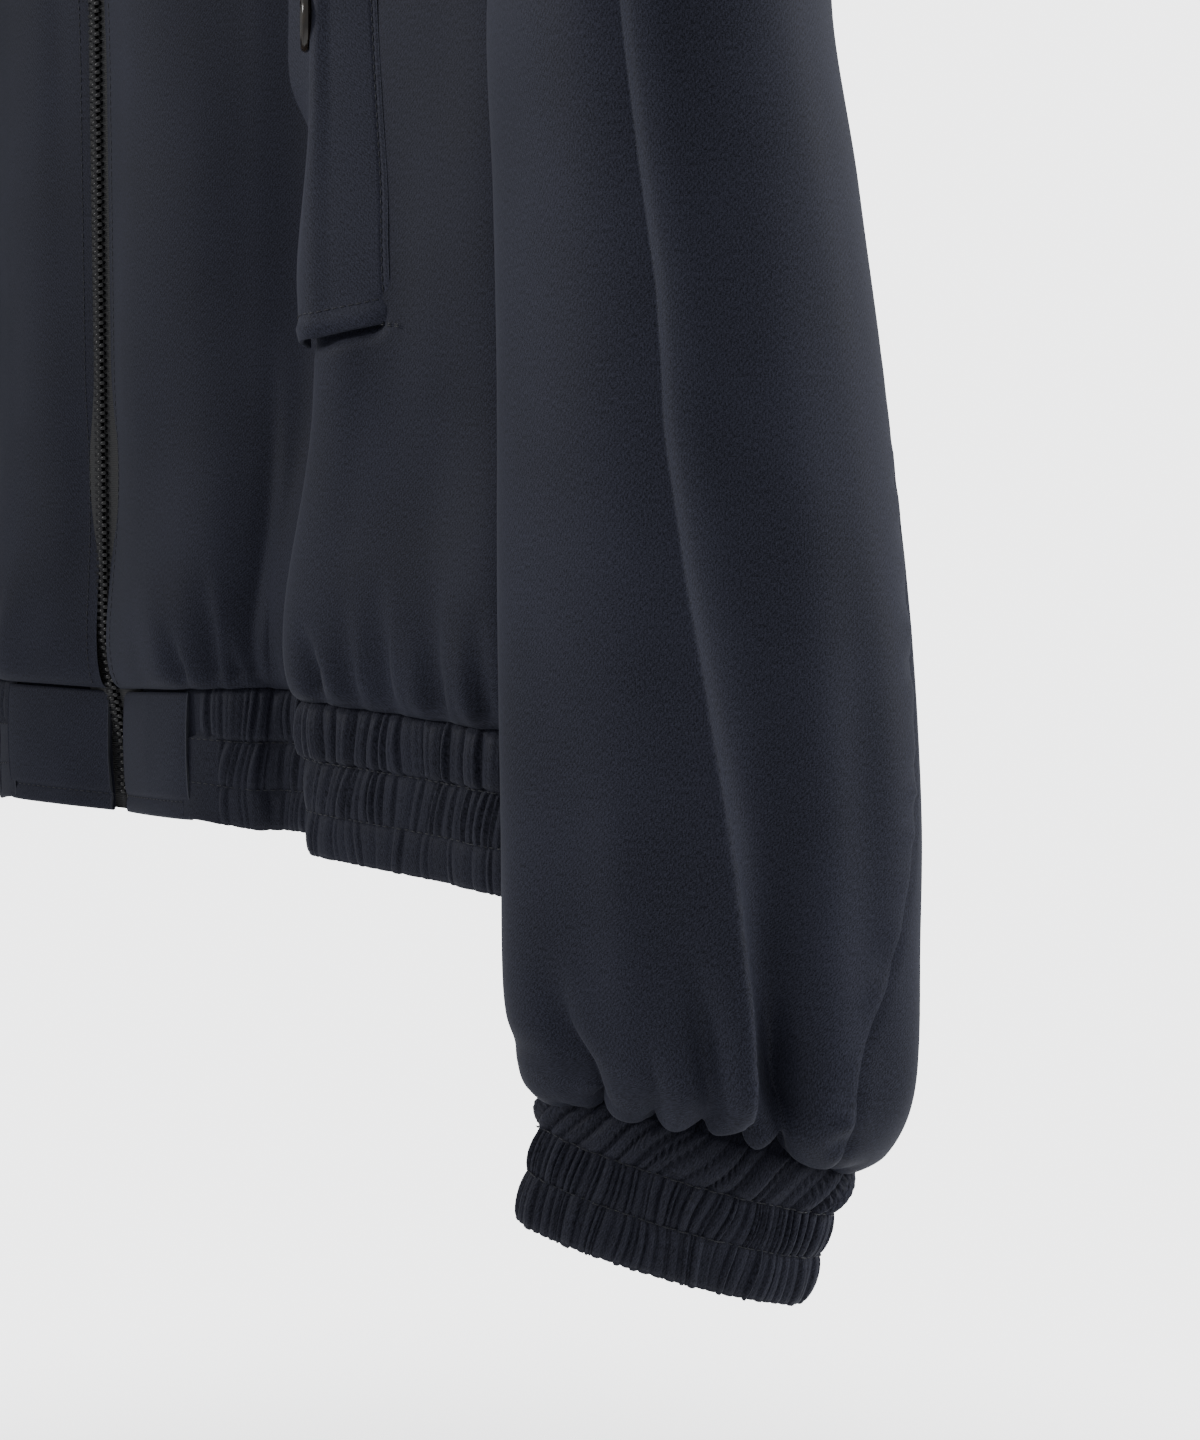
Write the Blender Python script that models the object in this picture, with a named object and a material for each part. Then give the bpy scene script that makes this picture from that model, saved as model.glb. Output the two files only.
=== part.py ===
# Harrington jacket, hanging from a plain hanger, built from the pieces that are cut and sewn.
# Metres, +Z up. The front faces -Y and the wearer's left side is at +X.
# The origin is the top of the hook's inner side, where the hook hangs on a rail.
import math

import bmesh
import bpy
import numpy as np
from mathutils import Vector

# Cloth and sewing
CLOTH_WALL = 0.0014
FOLDED_WALL = 0.0020
SEAM_GAP = 0.0003
MITRE = 0.0008

# Heights of the hanging jacket
HEM_HEIGHT = 0.0445
TAB_HEIGHT = 0.0428
ARMPIT_Z = -0.3850
SHOULDER_X = 0.2520
SHOULDER_Z = -0.1650
NECK_X = 0.0780
NECK_SIDE_Z = -0.0850
NECK_FRONT_Z = -0.1520
NECK_FRONT_DEPTH = 0.0660
NECK_BACK_Z = -0.1000
NECK_BACK_DEPTH = 0.0400
COLLAR_HEIGHT = 0.0550

# The hem band and cuffs: share of the height at each row, and how far the row stands proud
BAND_ROWS = ((0.0, 0.0004), (0.185, 0.0026), (0.37, 0.0003), (0.545, 0.0028), (0.72, 0.0003),
             (0.86, 0.0026), (1.0, 0.0006))
CUFF_ROWS = ((0.0, 0.0004), (0.15, 0.0022), (0.30, 0.0003), (0.47, 0.0025), (0.64, 0.0003),
             (0.82, 0.0024), (1.0, 0.0006))
BAND_GATHERS = 72
CUFF_GATHERS = 26
GATHER_DEPTH = 0.0022
STITCHED_PROUD = 0.0010
STITCHED_SHARE = 0.45
BAND_INSET = 0.0012
BAND_WALL = 0.0024
CUFF_HEIGHT = 0.0370
CUFF_HALF_WIDTH = 0.0405
CUFF_HALF_DEPTH = 0.0165

# Pocket flap and its button
FLAP_TOP_Z = -0.3690
FLAP_BOTTOM_Z = -0.5650
FLAP_COLUMNS = (7, 8, 9, 10, 11, 12)
FLAP_LIFT = 0.0070
FLAP_CLEARANCE = 0.0006
BUTTON_RADIUS = 0.0090
BUTTON_THICKNESS = 0.0030
BUTTON_STANDOFF = 0.0009
BUTTON_SIDES = 20
# Turned profile of the button: share of its radius, share of its thickness
BUTTON_PROFILE = ((0.80, 0.0), (1.0, 0.35), (1.0, 0.75), (0.88, 1.0), (0.72, 0.95), (0.60, 0.62))

# Zip
ZIP_EDGE_X = 0.0048
TAPE_WIDTH = 0.0160
TAPE_WALL = 0.0010
TAPE_BEND_ROWS = (-0.6000, -0.6300, -0.6500, -0.6650)
TAPE_GAP = 0.0012
SLIDER_Z = -0.1680
SLIDER_HALF_HEIGHT = 0.0065
SLIDER_HALF_WIDTH = 0.0042
SLIDER_DEPTH = 0.0052
SLIDER_ROUND = 0.0012
EAR_INNER_X = 0.0026
EAR_OUTER_X = 0.0040
EAR_RADIUS = 0.0022
PIN_RADIUS = 0.0011
PIN_PROUD = 0.0026
PIN_RISE = 0.0022
TAB_LENGTH = 0.0260
TAB_HALF_WIDTH = 0.0023
TAB_THICKNESS = 0.0016
TAB_RIM = 0.0009
TAB_ROUND = 0.0005

# Hanger
BAR_HALF_LENGTH = 0.2250
BAR_THICKNESS = 0.0120
BAR_MIDDLE_HEIGHT = 0.0260
BAR_END_HEIGHT = 0.0160
BAR_TOP_LIMIT = -0.0660
BAR_SIDES = 12
HOOK_INNER_RADIUS = 0.0220
WIRE_RADIUS = 0.0018

# Front across its width, from the centre front to the side seam. The deep fold beside the
# pocket runs from the hem up, and has gone at the chest.
PLAN_COLUMNS = ("hem_x", "hem_y", "seam_z", "chest_x", "chest_y")
FRONT_PLAN = (
    (0.0048, -0.0585, -0.6775, 0.0048, -0.0680),
    (0.0300, -0.0645, -0.6765, 0.0300, -0.0700),
    (0.0560, -0.0670, -0.6758, 0.0550, -0.0715),
    (0.0790, -0.0590, -0.6754, 0.0810, -0.0725),
    (0.1000, -0.0530, -0.6752, 0.1070, -0.0730),
    (0.1180, -0.0610, -0.6754, 0.1320, -0.0735),
    (0.1350, -0.0805, -0.6762, 0.1570, -0.0740),
    (0.1600, -0.0795, -0.6775, 0.1820, -0.0740),
    (0.1860, -0.0765, -0.6790, 0.2050, -0.0720),
    (0.2120, -0.0735, -0.6802, 0.2250, -0.0660),
    (0.2285, -0.0560, -0.6808, 0.2400, -0.0540),
    (0.2330, -0.0300, -0.6810, 0.2475, -0.0360),
    (0.2330, -0.0150, -0.6810, 0.2490, -0.0180),
)
# Half of the back, from the centre back to the side seam
BACK_PLAN = (
    (0.0000, 0.0400, -0.6810, 0.0000, 0.0480),
    (0.0400, 0.0410, -0.6810, 0.0450, 0.0490),
    (0.0800, 0.0410, -0.6810, 0.0900, 0.0490),
    (0.1200, 0.0400, -0.6810, 0.1350, 0.0470),
    (0.1600, 0.0370, -0.6810, 0.1780, 0.0420),
    (0.1950, 0.0300, -0.6810, 0.2130, 0.0310),
    (0.2220, 0.0150, -0.6810, 0.2360, 0.0120),
    (0.2325, -0.0030, -0.6810, 0.2480, -0.0060),
    (0.2330, -0.0150, -0.6810, 0.2490, -0.0180),
)
# Where the hem fold fades out, as heights
FOLD_FADE_LOW = -0.5200
FOLD_FADE_HIGH = -0.3600
TAB_SHARE = 2 / 12
NECK_SHARE = 0.25

# Rows of a panel: share of the way from the hem to the armpit, then from there to the top
LOWER_ROWS = (0.0, 0.035, 0.085, 0.15, 0.25, 0.37, 0.49, 0.61, 0.74, 0.87)
UPPER_ROWS = (0.0, 0.05, 0.16, 0.34, 0.52, 0.70, 0.85, 0.95, 0.992, 1.0)
FRONT_SHARES = (0.0, 0.0625, 0.125, 0.1875, 0.25, 0.32, 0.39, 0.455, 0.4875, 0.52, 0.5525, 0.585,
                0.617, 0.67, 0.73, 0.80, 0.87, 0.935, 1.0)
BACK_SHARES = (0.0, 0.0625, 0.125, 0.1875, 0.25, 0.37, 0.49, 0.61, 0.73, 0.84, 0.93, 1.0)
BLOUSE_DEPTH = 0.0050
BLOUSE_HEIGHT = 0.0900
HEM_GATHER_DEPTH = 0.0024
HEM_GATHER_REACH = 0.0700
# How far the armhole is cut in from the side seam, as a share of the panel, and the rise over
# which its foot is rounded
FRONT_ARMHOLE_CUT = 0.22
BACK_ARMHOLE_CUT = 0.36
ARMHOLE_ROUND = 0.45

# Sleeve rings below the armhole, from the top down. The long axis points outward and back at
# turn degrees from +X. Tilt lowers its outer end. Near is the side towards the front.
SLEEVE_COLUMNS = ("z", "x", "y", "half_width", "near_depth", "far_depth", "turn", "tilt",
                  "gather", "back_seam")
SLEEVE_RINGS = (
    (-0.4200, 0.2800, -0.0530, 0.0470, 0.0500, 0.0250, 49.0, 0.0, 0.0000, 0.0),
    (-0.4500, 0.2735, -0.0630, 0.0440, 0.0490, 0.0255, 45.0, 0.0, 0.0000, 0.0),
    (-0.4890, 0.2670, -0.0711, 0.0429, 0.0480, 0.0270, 43.0, 0.0, 0.0000, 1.0),
    (-0.5410, 0.2699, -0.0685, 0.0465, 0.0440, 0.0290, 43.0, 0.0, 0.0000, 4.0),
    (-0.5930, 0.2733, -0.0653, 0.0504, 0.0410, 0.0300, 43.0, 0.0, 0.0000, 9.0),
    (-0.6450, 0.2758, -0.0630, 0.0533, 0.0380, 0.0300, 43.0, 0.0, 0.0000, 14.0),
    (-0.6970, 0.2769, -0.0619, 0.0546, 0.0360, 0.0290, 43.0, 0.0, 0.0004, 22.0),
    (-0.7350, 0.2769, -0.0620, 0.0545, 0.0350, 0.0280, 43.0, 1.0, 0.0012, 32.0),
    (-0.7560, 0.2772, -0.0617, 0.0540, 0.0340, 0.0270, 43.0, 5.0, 0.0024, 38.0),
    (-0.7690, 0.2778, -0.0611, 0.0515, 0.0310, 0.0250, 43.0, 11.0, 0.0030, 42.0),
    (-0.7775, 0.2768, -0.0621, 0.0470, 0.0260, 0.0220, 43.0, 15.0, 0.0028, 46.0),
    (-0.7825, 0.2737, -0.0649, 0.0410, 0.0172, 0.0172, 43.0, 16.5, 0.0010, 48.0),
)
SLEEVE_HEAD_ROWS = (0.0, 0.12, 0.30, 0.52, 0.76)
SLEEVE_SIDES = 30
CROWN_ANGLE = 43.0
ARMPIT_TWIST = 22.0
FRONT_SEAM_COLUMN = 14
BACK_SEAM_COLUMN = -4

# Finishes: colour, roughness, and metallic where it is metal
CLOTH_FINISH = ((0.017, 0.018, 0.025), 0.75)
RIB_FINISH = ((0.014, 0.015, 0.021), 0.70)
TAPE_FINISH = ((0.012, 0.012, 0.017), 0.80)
BUTTON_FINISH = ((0.010, 0.008, 0.008), 0.15)
METAL_FINISH = ((0.10, 0.10, 0.11), 0.35, 1.0)
BAR_FINISH = ((0.42, 0.27, 0.15), 0.45)
HOOK_FINISH = ((0.60, 0.60, 0.60), 0.30, 1.0)


def spline(rows, share):
    """Point on a smooth curve through evenly spaced rows, at a share from 0 to 1."""
    rows = np.asarray(rows, float)
    place = min(max(share, 0.0), 1.0) * (len(rows) - 1)
    low = min(int(place), len(rows) - 2)
    t = place - low
    first = rows[max(low - 1, 0)]
    last = rows[min(low + 2, len(rows) - 1)]
    start = rows[low]
    end = rows[low + 1]
    slope_in = (end - first) / 2
    slope_out = (last - start) / 2
    return (start * (2 * t**3 - 3 * t**2 + 1) + slope_in * (t**3 - 2 * t**2 + t)
            + end * (3 * t**2 - 2 * t**3) + slope_out * (t**3 - t**2))


def smooth(value, low, high):
    """Smooth step from 0 at low to 1 at high."""
    t = min(max((value - low) / (high - low), 0.0), 1.0)
    return t * t * (3 - 2 * t)


def unit(vectors):
    """Vectors scaled to length one."""
    vectors = np.asarray(vectors, float)
    return vectors / np.maximum(np.linalg.norm(vectors, axis=-1, keepdims=True), 1e-12)


def mirror(grid):
    """The same grid on the wearer's other side."""
    return np.asarray(grid, float) * (-1.0, 1.0, 1.0)


def surface_normals(grid, core, wrap=False):
    """Normals of a grid of points, pointing away from the core points inside it."""
    down = np.gradient(grid, axis=0)
    if wrap:
        across = np.roll(grid, -1, axis=1) - np.roll(grid, 1, axis=1)
    else:
        across = np.gradient(grid, axis=1)
    normals = unit(np.cross(across, down))
    if np.sum(normals * (grid - core)) < 0:
        normals = -normals
    return normals


def inner_grid(outer, core, wall, wrap=False):
    """The wall's inner points, drawn back a little from each cut edge."""
    inner = outer - surface_normals(outer, core, wrap) * wall
    drawn = inner.copy()
    drawn[0] += unit(inner[1] - inner[0]) * MITRE
    drawn[-1] += unit(inner[-2] - inner[-1]) * MITRE
    if not wrap:
        drawn[:, 0] += unit(inner[:, 1] - inner[:, 0]) * MITRE
        drawn[:, -1] += unit(inner[:, -2] - inner[:, -1]) * MITRE
    return drawn


def material(name, colour, roughness, metallic=0.0):
    """A Principled material with a name of its own."""
    made = bpy.data.materials.new(name)
    made.use_nodes = True
    shader = made.node_tree.nodes["Principled BSDF"]
    shader.inputs["Base Color"].default_value = (*colour, 1.0)
    shader.inputs["Roughness"].default_value = roughness
    shader.inputs["Metallic"].default_value = metallic
    return made


def add_object(name, mesh_or_curve, finish):
    """Link a mesh or curve to the scene as a named object with its finish."""
    made = bpy.data.objects.new(name, mesh_or_curve)
    made.data.materials.append(material(name, *finish))
    bpy.context.scene.collection.objects.link(made)
    return made


def add_mesh(name, points, faces, finish, sharp=50):
    """A closed mesh with its faces turned outward."""
    mesh = bpy.data.meshes.new(name)
    mesh.from_pydata([tuple(point) for point in points], [], faces)
    work = bmesh.new()
    work.from_mesh(mesh)
    bmesh.ops.recalc_face_normals(work, faces=work.faces)
    work.to_mesh(mesh)
    work.free()
    mesh.shade_smooth()
    mesh.set_sharp_from_angle(angle=math.radians(sharp))
    return add_object(name, mesh, finish)


def wall_piece(name, outer, inner, finish, wrap=False):
    """A wall between a grid of outer points and a grid of inner points with the same columns."""
    rows, columns = outer.shape[:2]
    inner_rows = inner.shape[0]
    points = list(outer.reshape(-1, 3)) + list(inner.reshape(-1, 3))

    def outer_at(row, column):
        return row * columns + column % columns

    def inner_at(row, column):
        return rows * columns + row * columns + column % columns

    faces = []
    for column in range(columns if wrap else columns - 1):
        for row in range(rows - 1):
            faces.append((outer_at(row, column), outer_at(row, column + 1),
                          outer_at(row + 1, column + 1), outer_at(row + 1, column)))
        for row in range(inner_rows - 1):
            faces.append((inner_at(row, column), inner_at(row + 1, column),
                          inner_at(row + 1, column + 1), inner_at(row, column + 1)))
        faces.append((outer_at(0, column), inner_at(0, column),
                      inner_at(0, column + 1), outer_at(0, column + 1)))
        faces.append((outer_at(rows - 1, column), outer_at(rows - 1, column + 1),
                      inner_at(inner_rows - 1, column + 1), inner_at(inner_rows - 1, column)))
    if not wrap:
        for column in (0, columns - 1):
            faces.extend(cut_edge(rows, inner_rows, column, outer_at, inner_at))
    return add_mesh(name, points, faces, finish)


def ring_faces(rings, sides):
    """Faces of a solid made of rings of points, closed at both ends."""
    faces = [tuple(range(sides)), tuple(range((rings - 1) * sides, rings * sides))]
    for ring in range(rings - 1):
        for number in range(sides):
            after = (number + 1) % sides
            faces.append((ring * sides + number, ring * sides + after,
                          (ring + 1) * sides + after, (ring + 1) * sides + number))
    return faces


def cut_edge(rows, inner_rows, column, outer_at, inner_at):
    """Faces that close a wall along one of its side edges."""
    if inner_rows == rows:
        return [(outer_at(row, column), outer_at(row + 1, column),
                 inner_at(row + 1, column), inner_at(row, column)) for row in range(rows - 1)]
    return [tuple(outer_at(row, column) for row in range(rows))
            + (inner_at(1, column), inner_at(0, column))]


# Body: front, back and the lines that they share with the collar and the sleeves


def plan_at(plan, share):
    """The plan's named values at a share of its width."""
    return dict(zip(PLAN_COLUMNS, spline(plan, share)))


def body_plan(plan, share, z):
    """Outline of the body at a height below the armpit."""
    at = plan_at(plan, share)
    fade = smooth(z, FOLD_FADE_LOW, FOLD_FADE_HIGH)
    return np.array((at["hem_x"] + (at["chest_x"] - at["hem_x"]) * fade,
                     at["hem_y"] + (at["chest_y"] - at["hem_y"]) * fade, z))


def hem_point(plan, share):
    """Point on the hem seam."""
    at = plan_at(plan, share)
    return np.array((at["hem_x"], at["hem_y"], at["seam_z"]))


def neck_point(share, front):
    """Point on the neck seam: share 0 is the centre and NECK_SHARE the shoulder seam."""
    angle = math.radians(90) * share / NECK_SHARE
    depth = -NECK_FRONT_DEPTH if front else NECK_BACK_DEPTH
    low = NECK_FRONT_Z if front else NECK_BACK_Z
    x = NECK_X * math.sin(angle)
    if front:
        x = max(x, ZIP_EDGE_X)
    return np.array((x, depth * math.cos(angle), low + (NECK_SIDE_Z - low) * (1 - math.cos(angle))))


def top_point(share, front):
    """Point on a panel's top edge: the neck seam, then the shoulder seam."""
    if share <= NECK_SHARE:
        return neck_point(share, front)
    along = (share - NECK_SHARE) / (1 - NECK_SHARE)
    gap = -SEAM_GAP / 2 if front else SEAM_GAP / 2
    return np.array((NECK_X + (SHOULDER_X - NECK_X) * along, gap,
                     NECK_SIDE_Z + (SHOULDER_Z - NECK_SIDE_Z) * along))


def upper_point(plan, share, rise, front):
    """Point above the armpit: rise goes from 0 there to 1 on the neck or shoulder seam."""
    start = 1 - min(rise / ARMHOLE_ROUND, 1.0)
    cut = (FRONT_ARMHOLE_CUT if front else BACK_ARMHOLE_CUT) * math.sqrt(1 - start**2)
    chest = body_plan(plan, share * (1 - cut), ARMPIT_Z)
    top = top_point(share, front)
    x = chest[0] + (top[0] - chest[0]) * rise**1.5
    rounding = math.sqrt(max(1 - rise**2.4, 0.0))
    y = top[1] + (chest[1] - top[1]) * rounding
    return np.array((x, y, ARMPIT_Z + (top[2] - ARMPIT_Z) * rise))


def plan_outward(plan, share, z):
    """Direction out of the body, level, at a point below the armpit."""
    step = 0.01
    along = body_plan(plan, share + step, z) - body_plan(plan, share - step, z)
    if share + step > 1:
        along = body_plan(plan, share, z) - body_plan(plan, share - step, z)
    out = np.array((along[1], -along[0], 0.0))
    at = body_plan(plan, share, z)
    if np.dot(out[:2], at[:2]) < 0:
        out = -out
    return unit(out)


def lower_point(plan, share, climb, fold):
    """Point below the armpit, bloused over the hem seam; fold is +1 or -1 for the gathers."""
    seam_z = hem_point(plan, share)[2] + SEAM_GAP
    z = seam_z + (ARMPIT_Z - seam_z) * climb
    rise = z - seam_z
    reach = min(rise / BLOUSE_HEIGHT, 1.0)
    relief = BLOUSE_DEPTH * math.sin(math.pi * math.sqrt(reach))
    fade = max(1 - rise / HEM_GATHER_REACH, 0.0) ** 2
    near_seam = 0.35 if climb == 0 else 1.0
    relief += HEM_GATHER_DEPTH * fold * fade * near_seam
    return body_plan(plan, share, z) + plan_outward(plan, share, z) * relief


def half_panel(plan, shares, front):
    """Grid of a front, or of half of the back, from the hem up."""
    grid = []
    for climb in LOWER_ROWS:
        grid.append([lower_point(plan, share, climb, (-1) ** number)
                     for number, share in enumerate(shares)])
    for rise in UPPER_ROWS:
        grid.append([upper_point(plan, share, rise, front) for share in shares])
    grid = np.array(grid)
    grid[:len(LOWER_ROWS) + 1, -1, 1] += -SEAM_GAP / 2 if front else SEAM_GAP / 2
    return grid


def body_core(grid):
    """Points inside the body, level with a panel's points."""
    return grid * (0.0, 0.0, 1.0) + np.array((0.0, -0.012, -0.03))


def armhole_point(rise, front):
    """Point on the armhole seam: rise 0 is the armpit and 1 the shoulder."""
    return upper_point(FRONT_PLAN if front else BACK_PLAN, 1.0, rise, front)


def make_body():
    """The two fronts and the back."""
    front = half_panel(FRONT_PLAN, FRONT_SHARES, True)
    for name, grid in (("front_left", front), ("front_right", mirror(front))):
        inner = inner_grid(grid, body_core(grid), CLOTH_WALL)
        wall_piece(name, grid, inner, CLOTH_FINISH)
    half = half_panel(BACK_PLAN, BACK_SHARES, False)
    back = np.concatenate((mirror(half)[:, :0:-1], half), axis=1)
    inner = inner_grid(back, body_core(back), CLOTH_WALL)
    wall_piece("back", back, inner, CLOTH_FINISH)


# Collar: a plain stand that rises from the neck seam


def make_collar():
    """The collar, on the same neck points as the fronts and the back, with points between."""
    front = [neck_point(share, True) for share in FRONT_SHARES if share <= NECK_SHARE]
    back = [neck_point(share, False) for share in BACK_SHARES if share < NECK_SHARE]
    half = front + back[::-1]
    ring = [point * (-1.0, 1.0, 1.0) for point in half[:-1]] + half[::-1]
    seam = []
    for start, end in zip(ring[:-1], ring[1:]):
        seam += [start, (start + end) / 2]
    seam = np.array(seam + [ring[-1]]) + np.array((0.0, 0.0, SEAM_GAP * 1.5))
    rows = []
    for climb in (1.0, 0.66, 0.33, 0.0):
        lean = 0.0030 * math.sin(math.pi * climb)
        outward = unit(seam * (1.0, 1.0, 0.0))
        rows.append(seam + np.array((0.0, 0.0, COLLAR_HEIGHT)) * climb + outward * lean)
    grid = np.array(rows)
    core = grid * (0.0, 0.0, 1.0)
    wall_piece("collar", grid, inner_grid(grid, core, FOLDED_WALL), CLOTH_FINISH)


# Hem: a gathered elastic band round the back, and a flat tab on each side of the zip


def hem_outline():
    """Hem points from the left tab seam round the back to the right one, closely spaced."""
    count = 160
    left = [hem_point(FRONT_PLAN, TAB_SHARE + (1 - TAB_SHARE) * step / count)
            for step in range(count)]
    left_back = [hem_point(BACK_PLAN, 1 - step / count) for step in range(count + 1)]
    half = np.array(left + left_back)
    return np.concatenate((half, mirror(half)[-2::-1]))


def even_columns(outline, count, start_gap, end_gap):
    """Points at even steps along an outline, with the level direction out of it."""
    steps = np.linalg.norm(np.diff(outline, axis=0), axis=1)
    length = np.concatenate(([0.0], np.cumsum(steps)))
    places = np.linspace(start_gap, length[-1] - end_gap, count)

    def at(distances):
        return np.stack([np.interp(distances, length, outline[:, axis]) for axis in range(3)], 1)

    reach = 0.004
    along = at(places + reach) - at(places - reach)
    out = unit(np.stack((along[:, 1], -along[:, 0], np.zeros(count)), 1))
    return at(places), out


def gathered_walls(seam, out, down, rows, height):
    """Outer points of an elastic band: channels that swell between the stitch lines."""
    folds = np.array([number % 2 for number in range(len(seam))])
    grid = []
    for share, proud in rows:
        depth = GATHER_DEPTH if proud > STITCHED_PROUD else GATHER_DEPTH * STITCHED_SHARE
        grid.append(seam + down * (height * share) + out * (proud + depth * folds)[:, None])
    return np.array(grid)


def make_hem():
    """The hem band and its two tabs."""
    seam, out = even_columns(hem_outline(), 2 * BAND_GATHERS + 1, SEAM_GAP, SEAM_GAP)
    down = np.array((0.0, 0.0, -1.0))
    outer = gathered_walls(seam - out * BAND_INSET, out, down, BAND_ROWS, HEM_HEIGHT)
    base = seam - out * BAND_WALL
    inner = np.array((base, base + down * HEM_HEIGHT))
    wall_piece("hem_band", outer, inner, RIB_FINISH)
    shares = np.linspace(0.0, TAB_SHARE, 5)
    top = np.array([hem_point(FRONT_PLAN, share) for share in shares])
    top[-1, 0] -= SEAM_GAP
    grid = np.array([top + down * TAB_HEIGHT * climb for climb in (0.0, 0.5, 1.0)])
    for name, tab in (("hem_tab_left", grid), ("hem_tab_right", mirror(grid))):
        wall_piece(name, tab, inner_grid(tab, body_core(tab), FOLDED_WALL), CLOTH_FINISH)


# Sleeves: an upper and an under piece each, then the cuff


def armhole_ring():
    """Armhole points for the sleeve's columns, from the shoulder down the front and up the back."""
    rises = UPPER_ROWS
    marks = [1.0, 0.992]
    for high, low in zip(rises[-2:2:-1], rises[-3:1:-1]):
        marks += [(high + low) / 2, low]
    marks += [0.05, 0.0]
    front = []
    back = []
    for mark in marks:
        above = next(number for number, rise in enumerate(rises) if rise >= mark)
        below = max(above - 1, 0)
        span = rises[above] - rises[below]
        part = (mark - rises[below]) / span if span else 0.0
        for side, points in ((True, front), (False, back)):
            low_point = armhole_point(rises[below], side)
            points.append(low_point + (armhole_point(rises[above], side) - low_point) * part)
    ring = np.array(front + back[-2:0:-1])
    ring[:, 0] += SEAM_GAP * 1.7
    return ring


def sleeve_ring(row, columns):
    """Ring of a sleeve from its table row; columns are counted from the crown, front first."""
    z, x, y, half_width, near, far, turn, tilt, gather, back_seam = row
    turn = math.radians(turn)
    tilt = math.radians(tilt)
    long_axis = np.array((math.cos(turn) * math.cos(tilt), math.sin(turn) * math.cos(tilt),
                          -math.sin(tilt)))
    short_axis = np.array((math.sin(turn), -math.cos(turn), 0.0))
    centre = np.array((x, y, z))
    points = []
    for column in columns:
        angle = math.radians(sleeve_angle(column, z, back_seam))
        depth = near if math.sin(angle) > 0 else far
        fold = -gather * (-1) ** column
        points.append(centre + long_axis * (half_width + fold) * math.cos(angle)
                      + short_axis * (depth + fold) * math.sin(angle))
    return np.array(points)


def sleeve_angle(column, z, back_seam):
    """Angle of a column round the ring, so that the back seam lies where it is seen."""
    step = 360.0 / SLEEVE_SIDES
    plain = CROWN_ANGLE + column * step
    half = SLEEVE_SIDES / 2
    twist = ARMPIT_TWIST * smooth(z, -0.56, -0.42)
    plain += twist * math.sin(math.pi * (column % SLEEVE_SIDES) / SLEEVE_SIDES) ** 2
    seam_place = CROWN_ANGLE + BACK_SEAM_COLUMN * step
    reach = (column - BACK_SEAM_COLUMN) % SLEEVE_SIDES
    share = max(1 - min(reach, SLEEVE_SIDES - reach) / half, 0.0)
    return plain + (back_seam - seam_place) * share * smooth(-z, 0.44, 0.50)


def sleeve_head(armhole, columns, shares):
    """Rows from the armhole down to the first ring, each column on its own smooth curve."""
    ring = sleeve_ring(SLEEVE_RINGS[0], columns)
    below = sleeve_ring(SLEEVE_RINGS[1], columns)
    start = np.array([armhole[column % SLEEVE_SIDES] for column in columns])
    reach = np.linalg.norm(ring - start, axis=1)[:, None]
    height = (start[:, 2:3] - ARMPIT_Z) / (SHOULDER_Z - ARMPIT_Z)
    leave = np.concatenate((0.75 - 0.10 * height, 0 * height, -0.55 - 0.2 * height), axis=1)
    leave = unit(leave) * reach
    arrive = unit(below - ring) * reach
    rows = []
    for t in shares:
        rows.append(start * (2 * t**3 - 3 * t**2 + 1) + leave * (t**3 - 2 * t**2 + t)
                    + ring * (3 * t**2 - 2 * t**3) + arrive * (t**3 - t**2))
    return rows


def sleeve_grid(first, last):
    """Grid of one sleeve piece between two columns, with its seam edges drawn apart."""
    columns = list(range(first, last + 1))
    rows = sleeve_head(armhole_ring(), columns, SLEEVE_HEAD_ROWS)
    rows += [sleeve_ring(row, columns) for row in SLEEVE_RINGS]
    grid = np.array(rows)
    grid[:, 0] += unit(grid[:, 1] - grid[:, 0]) * SEAM_GAP / 2
    grid[:, -1] += unit(grid[:, -2] - grid[:, -1]) * SEAM_GAP / 2
    return grid


def sleeve_core(grid):
    """Points inside the sleeve, level with a piece's rows."""
    centres = [(0.245, -0.01, -0.275), (0.262, -0.01, -0.30), (0.272, -0.02, -0.33),
               (0.280, -0.03, -0.36), (0.283, -0.045, -0.39)]
    centres += [(row[1], row[2], row[0]) for row in SLEEVE_RINGS]
    return np.array(centres)[:, None, :] + 0 * grid


def make_sleeves():
    """Upper and under sleeve on both sides."""
    upper = sleeve_grid(BACK_SEAM_COLUMN, FRONT_SEAM_COLUMN)
    under = sleeve_grid(FRONT_SEAM_COLUMN, BACK_SEAM_COLUMN + SLEEVE_SIDES)
    for part, grid in (("upper_sleeve", upper), ("under_sleeve", under)):
        inner = inner_grid(grid, sleeve_core(grid), CLOTH_WALL)
        wall_piece(part + "_left", grid, inner, CLOTH_FINISH)
        wall_piece(part + "_right", mirror(grid), mirror(inner), CLOTH_FINISH)


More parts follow.
